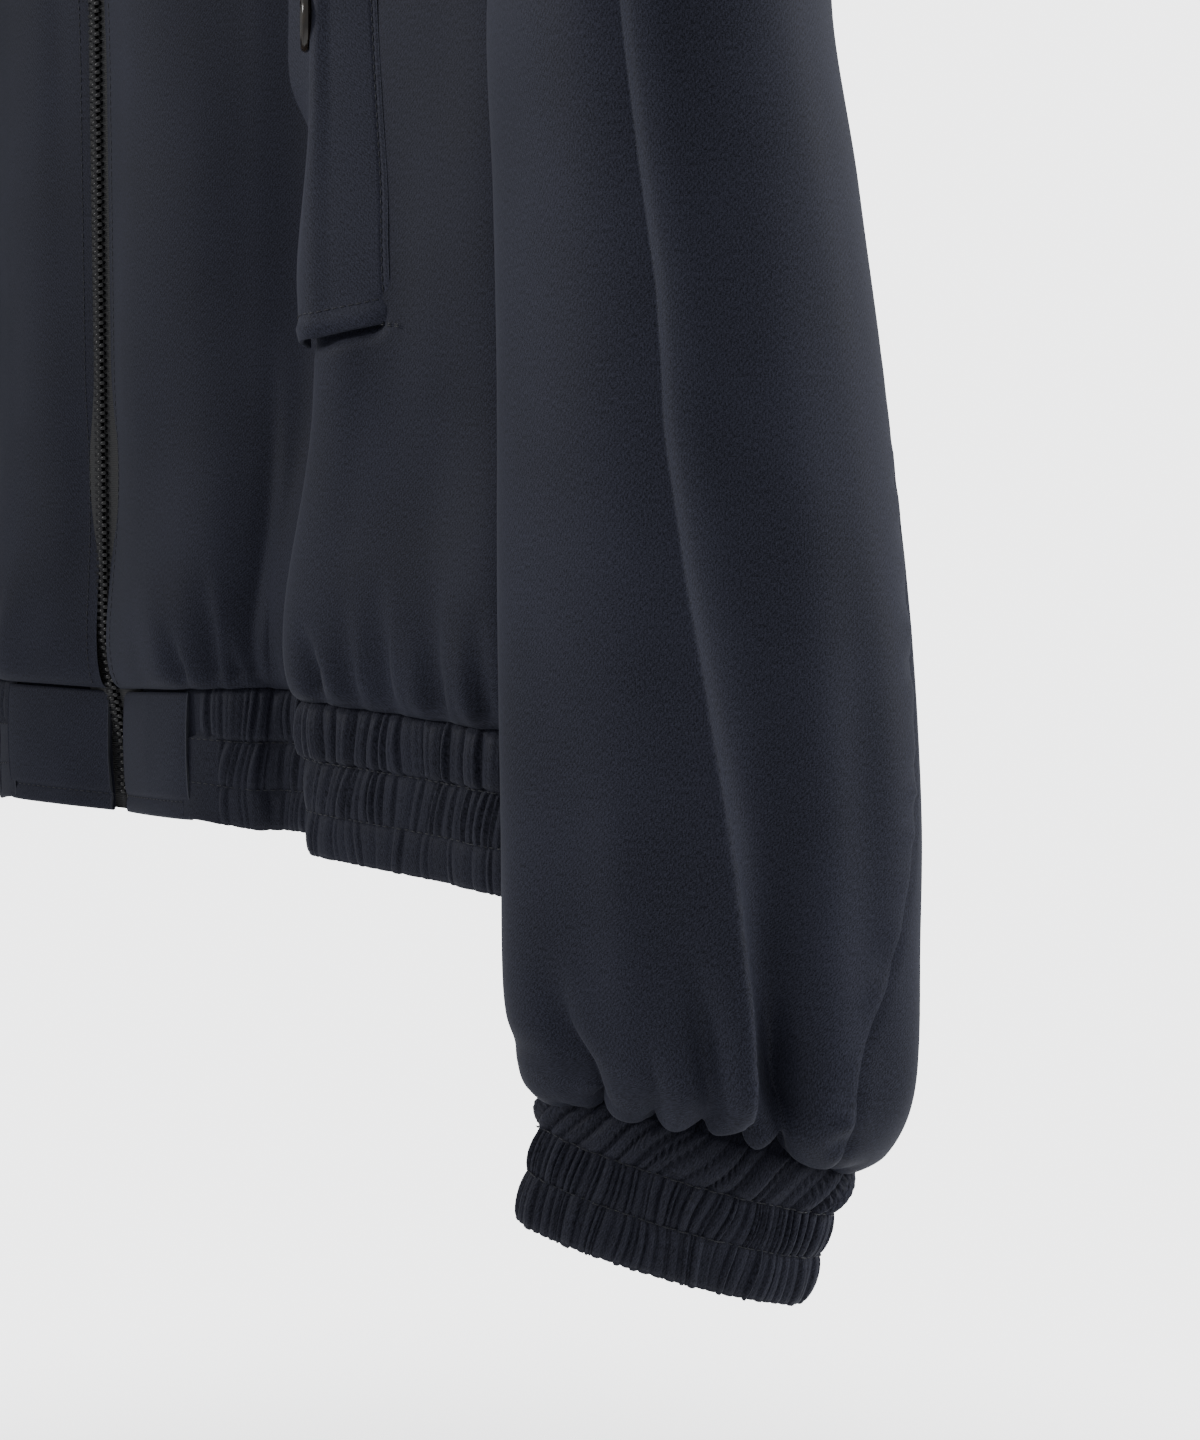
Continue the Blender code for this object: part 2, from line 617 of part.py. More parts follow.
def make_cuffs():
    """The gathered elastic cuffs, tilted as the sleeves end."""
    row = dict(zip(SLEEVE_COLUMNS, SLEEVE_RINGS[-1]))
    turn = math.radians(row["turn"])
    tilt = math.radians(row["tilt"])
    long_axis = np.array((math.cos(turn) * math.cos(tilt), math.sin(turn) * math.cos(tilt),
                          -math.sin(tilt)))
    short_axis = np.array((math.sin(turn), -math.cos(turn), 0.0))
    down = np.cross(long_axis, short_axis)
    down = down if down[2] < 0 else -down
    centre = np.array((row["x"], row["y"], row["z"])) + down * SEAM_GAP * 2
    angles = np.linspace(0.0, 2 * math.pi, 400)
    outline = (centre + np.outer(np.cos(angles), long_axis) * CUFF_HALF_WIDTH
               + np.outer(np.sin(angles), short_axis) * CUFF_HALF_DEPTH)
    steps = np.linalg.norm(np.diff(outline, axis=0), axis=1)
    length = np.concatenate(([0.0], np.cumsum(steps)))
    places = np.linspace(0.0, length[-1], 2 * CUFF_GATHERS + 1)[:-1]
    turns = np.interp(places, length, angles)
    seam = (centre + np.outer(np.cos(turns), long_axis) * CUFF_HALF_WIDTH
            + np.outer(np.sin(turns), short_axis) * CUFF_HALF_DEPTH)
    out = unit(np.outer(np.cos(turns), long_axis) * CUFF_HALF_DEPTH
               + np.outer(np.sin(turns), short_axis) * CUFF_HALF_WIDTH)
    outer = gathered_walls(seam - out * BAND_INSET, out, down, CUFF_ROWS, CUFF_HEIGHT)
    base = seam - out * BAND_WALL
    inner = np.array((base, base + down * CUFF_HEIGHT))
    wall_piece("cuff_left", outer, inner, RIB_FINISH, wrap=True)
    wall_piece("cuff_right", mirror(outer), mirror(inner), RIB_FINISH, wrap=True)


# Pocket flaps, laid on the fronts and lifting towards their free edge


def column_point(panel, column, z):
    """Point on a panel's own wall, on one of its columns, at a height."""
    line = panel[:, column]
    return np.array([np.interp(z, line[:, 2], line[:, axis]) for axis in range(3)])


def make_flaps():
    """Both pocket flaps and their buttons, made from the front's own points."""
    front = half_panel(FRONT_PLAN, FRONT_SHARES, True)
    rows = [z for z in front[::-1, FLAP_COLUMNS[0], 2] if FLAP_BOTTOM_Z < z < FLAP_TOP_Z]
    heights = [FLAP_TOP_Z] + rows + [FLAP_BOTTOM_Z]
    base = np.array([[column_point(front, column, z) for column in FLAP_COLUMNS]
                     for z in heights])
    facing = surface_normals(base, body_core(base))
    across = np.linspace(1.0, 0.0, len(FLAP_COLUMNS))[None, :, None]
    outer = base + facing * (FOLDED_WALL + FLAP_CLEARANCE + FLAP_LIFT * across**2)
    inner = outer - surface_normals(outer, body_core(outer)) * FOLDED_WALL
    wall_piece("pocket_flap_left", outer, inner, CLOTH_FINISH)
    wall_piece("pocket_flap_right", mirror(outer), mirror(inner), CLOTH_FINISH)
    middle = (FLAP_TOP_Z + FLAP_BOTTOM_Z) / 2
    place = column_point(outer[::-1], 2, middle)
    side = column_point(outer[::-1], 3, middle) - column_point(outer[::-1], 1, middle)
    outward = unit(np.array((side[1], -side[0], 0.0)))
    for name, turn in (("flap_button_left", 1.0), ("flap_button_right", -1.0)):
        make_button(name, place * (turn, 1.0, 1.0), outward * (turn, 1.0, 1.0))


def make_button(name, place, facing):
    """A turned button, a raised rim round a shallow dish, standing just off the flap."""
    facing = Vector(facing)
    side = facing.cross(Vector((0, 0, 1))).normalized()
    upward = side.cross(facing)
    base = Vector(place) + facing * BUTTON_STANDOFF
    points = []
    for radius, height in BUTTON_PROFILE:
        for number in range(BUTTON_SIDES):
            angle = 2 * math.pi * number / BUTTON_SIDES
            points.append(base + facing * (height * BUTTON_THICKNESS)
                          + (side * math.cos(angle) + upward * math.sin(angle))
                          * (radius * BUTTON_RADIUS))
    faces = ring_faces(len(BUTTON_PROFILE), BUTTON_SIDES)
    add_mesh(name, points, faces, BUTTON_FINISH, sharp=35)


# Zip: a tape behind each front edge, the slider at the top and its pull tab


def front_surface(share, z):
    """Point on the left front below the armpit."""
    seam_z = hem_point(FRONT_PLAN, share)[2] + SEAM_GAP
    return lower_point(FRONT_PLAN, share, (z - seam_z) / (ARMPIT_Z - seam_z), 0)


def front_depth(share, z):
    """Level of the fronts' and tabs' outer face near the zip, at a height."""
    if z <= hem_point(FRONT_PLAN, 0.0)[2]:
        return hem_point(FRONT_PLAN, share)[1]
    if z <= ARMPIT_Z:
        return front_surface(share, z)[1]
    rise = (z - ARMPIT_Z) / (NECK_FRONT_Z - ARMPIT_Z)
    return upper_point(FRONT_PLAN, share, min(rise, 1.0), True)[1]


def make_tapes():
    """The two tapes, following the inner face of the fronts and the tabs."""
    seam_z = hem_point(FRONT_PLAN, 0.0)[2]
    heights = np.concatenate((np.linspace(NECK_FRONT_Z, ARMPIT_Z, 6)[:-1],
                              np.linspace(ARMPIT_Z, TAPE_BEND_ROWS[0], 5)[:-1], TAPE_BEND_ROWS,
                              (seam_z, seam_z - TAB_HEIGHT)))
    first_column = FRONT_PLAN[1][0] - FRONT_PLAN[0][0]
    grid = []
    for z in heights:
        row = []
        for x in (SEAM_GAP / 2, TAPE_WIDTH):
            share = max((x - ZIP_EDGE_X) / first_column, 0.0) / (len(FRONT_PLAN) - 1)
            row.append((x, front_depth(share, z), z))
        grid.append(row)
    grid = np.array(grid)
    grid[:, :, 1] += FOLDED_WALL + TAPE_GAP
    inner = grid + np.array((0.0, TAPE_WALL, 0.0))
    wall_piece("zip_tape_left", grid, inner, TAPE_FINISH)
    wall_piece("zip_tape_right", mirror(grid), mirror(inner), TAPE_FINISH)


def prism(name, outline, low_x, high_x, finish):
    """A solid with an outline in the YZ plane, between two X values."""
    count = len(outline)
    points = [(low_x, y, z) for y, z in outline] + [(high_x, y, z) for y, z in outline]
    faces = [tuple(range(count)), tuple(range(count, 2 * count))]
    for number in range(count):
        after = (number + 1) % count
        faces.append((number, after, count + after, count + number))
    return add_mesh(name, points, faces, finish, sharp=35)


def arc(centre_y, centre_z, radius, start, end, steps):
    """Points of an arc in the YZ plane, angles in degrees from +Y towards +Z."""
    points = []
    for step in range(steps + 1):
        angle = math.radians(start + (end - start) * step / steps)
        points.append((centre_y + radius * math.cos(angle), centre_z + radius * math.sin(angle)))
    return points


def make_slider():
    """Slider with a bridge that carries the pin, and the pull tab round the pin."""
    face = front_depth(0.0, SLIDER_Z) + FOLDED_WALL + TAPE_GAP - SEAM_GAP
    top = SLIDER_Z + SLIDER_HALF_HEIGHT
    low = SLIDER_Z - SLIDER_HALF_HEIGHT
    front = face - SLIDER_DEPTH
    pin_y = front - PIN_PROUD
    pin_z = SLIDER_Z + PIN_RISE
    outline = [(face, low), (face, top), (front + SLIDER_ROUND, top), (front, top - SLIDER_ROUND),
               (front, low + SLIDER_ROUND), (front + SLIDER_ROUND, low)]
    slider = prism("zip_slider", outline, -SLIDER_HALF_WIDTH, SLIDER_HALF_WIDTH, METAL_FINISH)
    foot = [(front + SLIDER_ROUND, pin_z - PIN_PROUD), (front + SLIDER_ROUND, pin_z + PIN_PROUD)]
    ear = arc(pin_y, pin_z, EAR_RADIUS, 90, 270, 6) + foot
    middle_x = (EAR_INNER_X + EAR_OUTER_X) / 2
    pin = arc(pin_y, pin_z, PIN_RADIUS, 0, 330, 11)
    join_solids(slider, [prism("ear", ear, -EAR_OUTER_X, -EAR_INNER_X, METAL_FINISH),
                         prism("ear", ear, EAR_INNER_X, EAR_OUTER_X, METAL_FINISH),
                         prism("pin", pin, -middle_x, middle_x, METAL_FINISH)])
    make_pull_tab(pin_y, pin_z)


def join_solids(base, others, operation="UNION"):
    """Unite solids with the base object, or cut them out of it."""
    for other in others:
        modifier = base.modifiers.new("join", "BOOLEAN")
        modifier.operation = operation
        modifier.solver = "EXACT"
        modifier.object = other
    bpy.context.view_layer.update()
    graph = bpy.context.evaluated_depsgraph_get()
    joined = bpy.data.meshes.new_from_object(base.evaluated_get(graph))
    base.modifiers.clear()
    base.data = joined
    for other in others:
        bpy.data.objects.remove(other)


def make_pull_tab(pin_y, pin_z):
    """A flat tab with an eye round the pin; its origin is on the pin's axis."""
    bore = PIN_RADIUS + SEAM_GAP
    eye = bore + TAB_RIM
    half = TAB_THICKNESS / 2
    neck_z = -eye * 1.8
    end_z = -TAB_LENGTH + 3 * TAB_ROUND
    eye_points = arc(0.0, 0.0, eye, -60, 240, 16)
    plate = [(-half, neck_z), (-half, end_z), (-half + TAB_ROUND, -TAB_LENGTH),
             (half - TAB_ROUND, -TAB_LENGTH), (half, end_z), (half, neck_z)]
    tab = prism("zip_pull_tab", eye_points + plate, -TAB_HALF_WIDTH, TAB_HALF_WIDTH, METAL_FINISH)
    hole = arc(0.0, 0.0, bore, 0, 345, 23)
    cutter = prism("cutter", hole, -2 * TAB_HALF_WIDTH, 2 * TAB_HALF_WIDTH, METAL_FINISH)
    join_solids(tab, [cutter], "DIFFERENCE")
    tab.location = (0.0, pin_y, pin_z)


# Hanger: a wooden bar under the shoulder seams and a wire hook


def bar_top(x):
    """Height of the bar's top: just under the shoulder cloth, rising between the neck sides."""
    slope = (SHOULDER_Z - NECK_SIDE_Z) / (SHOULDER_X - NECK_X)
    under = NECK_SIDE_Z + slope * (abs(x) - NECK_X) - CLOTH_WALL - 0.0006
    rise = 0.0060 * (1 - smooth(abs(x), 0.0, NECK_X - 0.020))
    dip = 0.0016 * (1 - smooth(abs(x), NECK_X + 0.004, NECK_X + 0.030))
    return min(under + rise - dip, BAR_TOP_LIMIT)


def make_hanger():
    """The bar, as rings along X, and the hook."""
    stations = np.concatenate((np.linspace(-1.0, -0.9, 3), np.linspace(-0.78, 0.78, 19),
                               np.linspace(0.9, 1.0, 3))) * BAR_HALF_LENGTH
    points = []
    for x in stations:
        reach = abs(x) / BAR_HALF_LENGTH
        end = math.sqrt(max(1 - max((reach - 0.9) / 0.1, 0.0) ** 2, 0.04))
        full = BAR_MIDDLE_HEIGHT + (BAR_END_HEIGHT - BAR_MIDDLE_HEIGHT) * reach
        height = full * end
        width = BAR_THICKNESS * end
        top = bar_top(x) - full * (1 - end) / 2
        for number in range(BAR_SIDES):
            angle = 2 * math.pi * (number + 0.5) / BAR_SIDES
            points.append((x, math.cos(angle) * width / 2,
                           top - height / 2 + math.sin(angle) * height / 2))
    add_mesh("hanger_bar", points, ring_faces(len(stations), BAR_SIDES), BAR_FINISH, sharp=60)
    highest = max(point[2] for point in points)
    make_hook(highest + SEAM_GAP)


def make_hook(foot):
    """A bent wire: a stem on the bar, then most of a circle round the rail's place."""
    radius = HOOK_INNER_RADIUS + WIRE_RADIUS
    centre = -HOOK_INNER_RADIUS
    route = [(0.0, foot), (0.0, foot + 0.0100), (-0.0020, foot + 0.0150), (-0.0070, foot + 0.0195)]
    for step in range(26):
        angle = math.radians(226 - step * 10)
        route.append((radius * math.cos(angle), centre + radius * math.sin(angle)))
    curve = bpy.data.curves.new("hanger_hook", "CURVE")
    curve.dimensions = "3D"
    curve.bevel_depth = WIRE_RADIUS
    curve.bevel_resolution = 2
    curve.use_fill_caps = True
    line = curve.splines.new("POLY")
    line.points.add(len(route) - 1)
    for point, (x, z) in zip(line.points, route):
        point.co = (x, 0.0, z, 1.0)
    add_object("hanger_hook", curve, HOOK_FINISH)


for old in list(bpy.data.objects):
    bpy.data.objects.remove(old)
make_body()
make_collar()
make_hem()
make_sleeves()
make_cuffs()
make_flaps()
make_tapes()
make_slider()
make_hanger()
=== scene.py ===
# A harrington jacket on a plain hanger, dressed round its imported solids.
# Metres, +Z up. The jacket's front faces -Y and the wearer's left side is at +X.
import math

import bmesh
import bpy
import numpy as np
from mathutils import Matrix, Vector


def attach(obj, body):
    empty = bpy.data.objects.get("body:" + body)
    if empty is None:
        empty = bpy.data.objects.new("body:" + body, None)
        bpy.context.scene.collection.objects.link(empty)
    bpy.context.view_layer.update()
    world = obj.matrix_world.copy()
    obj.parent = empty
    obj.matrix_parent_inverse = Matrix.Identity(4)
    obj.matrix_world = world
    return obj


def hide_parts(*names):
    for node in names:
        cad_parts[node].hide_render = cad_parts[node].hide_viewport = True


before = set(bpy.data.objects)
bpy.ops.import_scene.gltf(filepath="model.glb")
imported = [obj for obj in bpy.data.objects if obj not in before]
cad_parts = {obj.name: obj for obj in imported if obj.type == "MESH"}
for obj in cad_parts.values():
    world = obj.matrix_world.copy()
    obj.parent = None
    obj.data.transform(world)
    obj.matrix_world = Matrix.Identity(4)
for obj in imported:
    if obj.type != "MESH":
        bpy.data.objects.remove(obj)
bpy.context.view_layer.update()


# Camera. It stands close to the left sleeve, a little below the pocket, and looks slightly down
# across the left front. The picture is 1200 by 1440, and its long side is 36 mm of sensor.
CAMERA_PLACE = (0.61, -0.461, -0.645)
CAMERA_TURN = math.radians(43.0)
CAMERA_FALL = math.atan(120 / 2000)
rightward = Vector((math.cos(CAMERA_TURN), math.sin(CAMERA_TURN), 0.0))
level = Vector((-math.sin(CAMERA_TURN), math.cos(CAMERA_TURN), 0.0))
looking = level * math.cos(CAMERA_FALL) - Vector((0, 0, math.sin(CAMERA_FALL)))
upward = level * math.sin(CAMERA_FALL) + Vector((0, 0, math.cos(CAMERA_FALL)))


def placed(name, data):
    """A new object in the scene, at the origin."""
    made = bpy.data.objects.new(name, data)
    bpy.context.scene.collection.objects.link(made)
    return made


camera_data = bpy.data.cameras.new("view")
camera_data.lens = 50.0
camera_data.sensor_width = 36.0
camera_data.clip_start = 0.01
camera = placed("view", camera_data)
turned = Matrix((rightward, upward, -looking)).transposed().to_4x4()
camera.matrix_world = Matrix.Translation(CAMERA_PLACE) @ turned
bpy.context.scene.camera = camera


# Studio. A pale floor well below the jacket fades into a white room. A narrow beam reaches the
# jacket from the picture's left, and a broad soft light from its right.
FLOOR_Z = -1.45
FLOOR_RADIUS = 1.6
ROOM_COLOUR = (0.985, 0.99, 1.0)
ROOM_SEEN = 3.9
ROOM_LIGHT = 0.54
SOFT_LIGHTS = (
    # Name, place, what it is aimed at, width, height, power, spread in degrees, colour
    ("key", (-1.25, -1.85, 0.5), (0.34, -0.08, -0.49), 0.45, 0.6, 0.5, 16.0, (1.0, 0.99, 0.98)),
    ("fill", (2.05, 1.35, 0.1), (0.3, 0.0, -0.5), 1.4, 1.8, 28.0, 140.0, (0.98, 0.99, 1.0)),
)


class Wire:
    """A socket in a material's tree. Maths on it adds the nodes for it."""

    def __init__(self, tree, socket=None):
        self.tree, self.socket = tree, socket

    def into(self, node, socket):
        """Links this socket to one of a node's."""
        self.tree.links.new(self.socket, node.inputs[socket])

    def node(self, kind, settings=(), sockets=(), output=0):
        """Any other node: its type, its settings, and the values or links of its sockets."""
        made = self.tree.nodes.new(kind)
        for name, value in dict(settings).items():
            if name == "stops":
                ramp = made.color_ramp
                while len(ramp.elements) < len(value):
                    ramp.elements.new(0.5)
                for element, (place, colour) in zip(ramp.elements, value):
                    element.position = place
                    element.color = colour
            else:
                setattr(made, name, value)
        for name, value in dict(sockets).items():
            if isinstance(value, Wire):
                value.into(made, name)
            else:
                made.inputs[name].default_value = value
        return Wire(self.tree, made.outputs[output])

    def bump(self, strength, distance, height):
        """Normals of a relief."""
        return self.node("ShaderNodeBump", (), {"Strength": strength, "Distance": distance,
                                                "Height": height})

    def maths(self, operation, other):
        """A Math or Vector Math node, whichever suits what the socket carries."""
        kind = "ShaderNodeVectorMath" if self.socket.type == "VECTOR" else "ShaderNodeMath"
        return self.node(kind, {"operation": operation}, {0: self, 1: other})

    __add__ = __radd__ = lambda self, other: self.maths("ADD", other)
    __sub__ = lambda self, other: self.maths("SUBTRACT", other)
    __mul__ = lambda self, other: self.maths("MULTIPLY", other)


def new_material(name, base, roughness, settings=()):
    """A material with its Principled shader, and a wire to start from."""
    made = bpy.data.materials.new(name)
    made.use_nodes = True
    shader = made.node_tree.nodes["Principled BSDF"]
    shader.inputs["Base Color"].default_value = (*base, 1.0)
    shader.inputs["Roughness"].default_value = roughness
    for socket, value in dict(settings).items():
        shader.inputs[socket].default_value = value
    return made, shader, Wire(made.node_tree)


floor_mesh = bpy.data.meshes.new("floor")
floor_form = bmesh.new()
bmesh.ops.create_circle(floor_form, cap_ends=True, segments=96, radius=FLOOR_RADIUS)
bmesh.ops.translate(floor_form, verts=floor_form.verts, vec=(0, 0, FLOOR_Z))
floor_form.to_mesh(floor_mesh)
floor_form.free()
floor = placed("floor", floor_mesh)
floor_finish, floor_shader, start = new_material("pale floor", (0.86, 0.86, 0.85), 0.9)
floor_shader.inputs["Emission Color"].default_value = (1.0, 1.0, 1.0, 1.0)
floor_shader.inputs["Emission Strength"].default_value = 0.4
place = start.node("ShaderNodeTexCoord", output=3)
flat_place = place * Vector((1.0, 1.0, 0.0))
distance = start.node("ShaderNodeVectorMath", {"operation": "LENGTH"}, {0: flat_place}, 1)
edge = start.node("ShaderNodeMapRange", {"interpolation_type": "SMOOTHSTEP"},
                  {"Value": distance, "From Min": 0.35, "From Max": FLOOR_RADIUS * 0.97,
                   "To Min": 1.0, "To Max": 0.0})
edge.into(floor_shader, "Alpha")
floor_mesh.materials.append(floor_finish)

room = bpy.data.worlds.new("white room")
room.use_nodes = True
start = Wire(room.node_tree)
lit_room = room.node_tree.nodes["Background"]
lit_room.inputs["Color"].default_value = (*ROOM_COLOUR, 1.0)
lit_room.inputs["Strength"].default_value = ROOM_LIGHT
seen_room = start.node("ShaderNodeBackground", (), {"Color": (*ROOM_COLOUR, 1.0),
                                                    "Strength": ROOM_SEEN})
# The first output of Light Path is Is Camera Ray
either = start.node("ShaderNodeMixShader", (), {0: start.node("ShaderNodeLightPath"),
                                                1: Wire(start.tree, lit_room.outputs[0]),
                                                2: seen_room})
either.into(room.node_tree.nodes["World Output"], "Surface")
bpy.context.scene.world = room

for name, stands, aimed, width, height, power, spread, colour in SOFT_LIGHTS:
    lamp = bpy.data.lights.new(name, "AREA")
    lamp.shape = "RECTANGLE"
    lamp.size, lamp.size_y = width, height
    lamp.energy = power
    lamp.spread = math.radians(spread)
    lamp.color = colour
    holder = placed(name, lamp)
    holder.location = stands
    holder.rotation_mode = "QUATERNION"
    holder.rotation_quaternion = (Vector(aimed) - Vector(stands)).to_track_quat("-Z", "Y")


# Fronts. Two panels of fine dark navy twill with a soft sheen, closed by the zip and gathered
# into the hem. The cloth beside the pocket falls in one deep fold, and the gathers fade upward.
ARMPIT_Z = -0.385
SHOULDER_X, SHOULDER_Z = 0.252, -0.165
NECK_X, NECK_SIDE_Z = 0.078, -0.085
NECK_FRONT_Z, NECK_FRONT_DEPTH = -0.152, 0.066
NECK_BACK_Z, NECK_BACK_DEPTH = -0.1, 0.04
NECK_SHARE = 0.25
ZIP_EDGE_X = 0.0048
BLOUSE_DEPTH, BLOUSE_HEIGHT, SEAM_DEPTH = 0.0065, 0.09, 0.0012
POCKET_LOW, POCKET_HIGH = -0.65, -0.56
CHEST_LOW, CHEST_HIGH = -0.46, -0.33
FRONT_ARMHOLE_CUT, BACK_ARMHOLE_CUT, ARMHOLE_ROUND = 0.22, 0.36, 0.45
# The gathers keep the cloth still up to the first height, and free it by the second
CALM_LOW, CALM_HIGH = -0.682, -0.6
# The pocket's mouth beside the flap's foot: a point on it, its slope, depth and half width
MOUTH_X, MOUTH_Z, MOUTH_SLOPE, MOUTH_DEPTH, MOUTH_REACH = 0.1448, -0.5688, 0.151, 0.0046, 0.0026
FRONT_PLAN = np.array((
    # In millimetres: hem_x, hem_y, seam_z, pocket_x, pocket_y, chest_x, chest_y
    (4.8, -58.5, -677.5, 4.8, -62.5, 4.8, -68),
    (30, -65.5, -676.5, 30, -69, 30, -70),
    (56, -68, -675.8, 56, -67, 55, -71.5),
    (78, -61, -675.4, 80, -60, 81, -72.5),
    (90, -53, -675.2, 104, -51.5, 107, -73),
    (123, -59, -675.4, 130, -61, 132, -73.5),
    (134.5, -81.5, -676.2, 144, -83, 157, -74),
    (160, -81, -678, 166, -81.2, 182, -74),
    (186, -76.5, -680.2, 190, -77.5, 205, -72),
    (212, -73.5, -682.4, 214, -72, 225, -66),
    (228.5, -56, -682.8, 230, -56, 240, -54),
    (233, -30, -682, 237, -30, 247.5, -36),
    (233, -15, -681, 238, -15, 249, -18),
)) / 1000
# Folds in millimetres, as ridges (+) and troughs (-) between two points: x and z at its foot, x
# and z at its top, its bow to +X, its reach to either side, its height, and 1 if it starts at
# full depth
FRONT_FOLDS = (
    (84.5, -676, 86, -545, 1, 12, 2.6, -5, 1),
    (97, -675, 90, -630, 2, 4, 5, 1.2, 1),
    (48, -660, 34, -605, -1, 18, 9, 1.2, 1),
    (60, -676, 52, -648, 1, 4, 1.6, -3, 1),
    (72, -676, 64, -626, 3, 7, 1.4, -3.6, 1),
    (80, -676, 74, -648, 0, 5, 1.6, -2, 1),
    (148, -677.5, 140, -646, 3.4, 6, 1.2, -4.8, 1),
    (156, -677.5, 148, -650, 1.2, 3, 5, 1.4, 1),
    (164, -678, 160, -638, -1, 7, 1.6, -2.4, 1),
    (176, -678, 170, -632, 1, 9, 1.6, -3.2, 1),
    (186, -678.5, 185, -650, 0, 5, 5, 1.4, 1),
    (195, -679, 191, -630, 0, 8, 1.8, -2.8, 1),
    (206, -679.5, 203, -650, 0, 5, 4, 1.8, 1),
    (212, -680, 208, -640, 0, 6, 1.8, -2.8, 1),
    (152, -645, 156, -500, 3, 10, 12, 1.6, 0),
    (170, -620, 174, -480, 2, 14, 14, -1.8, 0),
    (94, -620, 100, -400, 0, 42, 26, -5, 0),
    (130, -460, 140, -260, 6, 18, 20, 3, 0),
    (190, -420, 165, -230, 8, 20, 16, -2.8, 0),
    (62, -520, 56, -300, 5, 22, 26, -2.4, 0),
)


def smooth(value, low, high):
    """Smooth step from 0 at low to 1 at high."""
    t = np.clip((np.asarray(value, float) - low) / (high - low), 0.0, 1.0)
    return t * t * (3 - 2 * t)


def unit(vectors):
    """Vectors scaled to length one."""
    return vectors / np.maximum(np.linalg.norm(vectors, axis=-1, keepdims=True), 1e-12)


def hump(away, reach):
    """A soft rise to 1 where away is 0."""
    return np.exp(-(away / reach) ** 2)


def spaced(marks, counts):
    """Values from mark to mark, with so many even steps between each two."""
    return np.concatenate([np.linspace(low, high, count + 1)[:-1]
                           for low, high, count in zip(marks, marks[1:], counts)])


def curve(start, leave, end, arrive, t):
    """Points part of the way along a curve with given ends and slopes."""
    return (start * (2 * t**3 - 3 * t**2 + 1) + leave * (t**3 - 2 * t**2 + t)
            + end * (3 * t**2 - 2 * t**3) + arrive * (t**3 - t**2))


def through(rows, share):
    """Points on a smooth curve through evenly spaced rows, at shares from 0 to 1."""
    rows = np.asarray(rows, float)
    place = np.clip(share, 0.0, 1.0) * (len(rows) - 1)
    low = np.minimum(place.astype(int), len(rows) - 2)
    t = (place - low).reshape(place.shape + (1,) * (rows.ndim - 1))
    start, end = rows[low], rows[low + 1]
    slope_in = (end - rows[np.maximum(low - 1, 0)]) / 2
    slope_out = (rows[np.minimum(low + 2, len(rows) - 1)] - start) / 2
    return curve(start, slope_in, end, slope_out, t)


def body_plan(plan, share, z):
    """Outline of the body at a height below the armpit."""
    at = through(plan, share)
    above_hem = smooth(z, POCKET_LOW, POCKET_HIGH)[..., None]
    above_pocket = smooth(z, CHEST_LOW, CHEST_HIGH)[..., None]
    flat = at[..., 0:2] * (1 - above_hem) + at[..., 3:5] * above_hem
    flat = flat * (1 - above_pocket) + at[..., 5:7] * above_pocket
    return np.concatenate((flat, z[..., None]), -1)


def lower_body(plan, share, climb, front):
    """Points below the armpit, from the hem seam at climb 0, bloused over it."""
    seam_z = through(plan, share)[..., 2]
    z = seam_z + (ARMPIT_Z - seam_z) * climb
    step = 0.004
    along = body_plan(plan, share + step, z) - body_plan(plan, share - step, z)
    out = unit(np.stack((along[..., 1], -along[..., 0], 0 * z), -1))
    if not front:
        out = -out
    reach = np.clip((z - seam_z) / BLOUSE_HEIGHT, 0.0, 1.0)
    relief = BLOUSE_DEPTH * 3.5 * np.sqrt(reach) * (1 - reach)**2
    relief -= SEAM_DEPTH * (1 - smooth(reach, 0, 0.04))
    return body_plan(plan, share, z) + out * relief[..., None]


def top_edge(share, front):
    """Points on a panel's top edge: the neck seam, then the shoulder seam."""
    angle = np.radians(90) * np.clip(share / NECK_SHARE, 0, 1)
    depth = -NECK_FRONT_DEPTH if front else NECK_BACK_DEPTH
    low = NECK_FRONT_Z if front else NECK_BACK_Z
    neck_x = NECK_X * np.sin(angle)
    if front:
        neck_x = np.maximum(neck_x, ZIP_EDGE_X)
    neck = np.stack((neck_x, depth * np.cos(angle),
                     low + (NECK_SIDE_Z - low) * (1 - np.cos(angle))), -1)
    along = np.clip((share - NECK_SHARE) / (1 - NECK_SHARE), 0, 1)
    shoulder = np.stack((NECK_X + (SHOULDER_X - NECK_X) * along, 0 * along,
                         NECK_SIDE_Z + (SHOULDER_Z - NECK_SIDE_Z) * along), -1)
    return np.where((share <= NECK_SHARE)[..., None], neck, shoulder)


def upper_body(plan, share, rise, front):
    """Points above the armpit: rise goes from 0 there to 1 on the neck or shoulder seam."""
    start = 1 - np.minimum(rise / ARMHOLE_ROUND, 1.0)
    cut = (FRONT_ARMHOLE_CUT if front else BACK_ARMHOLE_CUT) * np.sqrt(1 - start**2)
    chest = body_plan(plan, share * (1 - cut), 0 * share + ARMPIT_Z)
    top = top_edge(share, front)
    x = chest[..., 0] + (top[..., 0] - chest[..., 0]) * rise**1.5
    rounding = np.sqrt(np.maximum(1 - rise**2.4, 0.0))
    y = top[..., 1] + (chest[..., 1] - top[..., 1]) * rounding
    return np.stack((x, y, ARMPIT_Z + (top[..., 2] - ARMPIT_Z) * rise), -1)


def panel(plan, shares, climbs, rises, front):
    """Grid of a panel from the hem seam up, columns from the centre to the side."""
    across, low = np.meshgrid(shares, climbs)
    across_up, high = np.meshgrid(shares, rises)
    return np.concatenate((lower_body(plan, across, low, front),
                           upper_body(plan, across_up, high, front)))


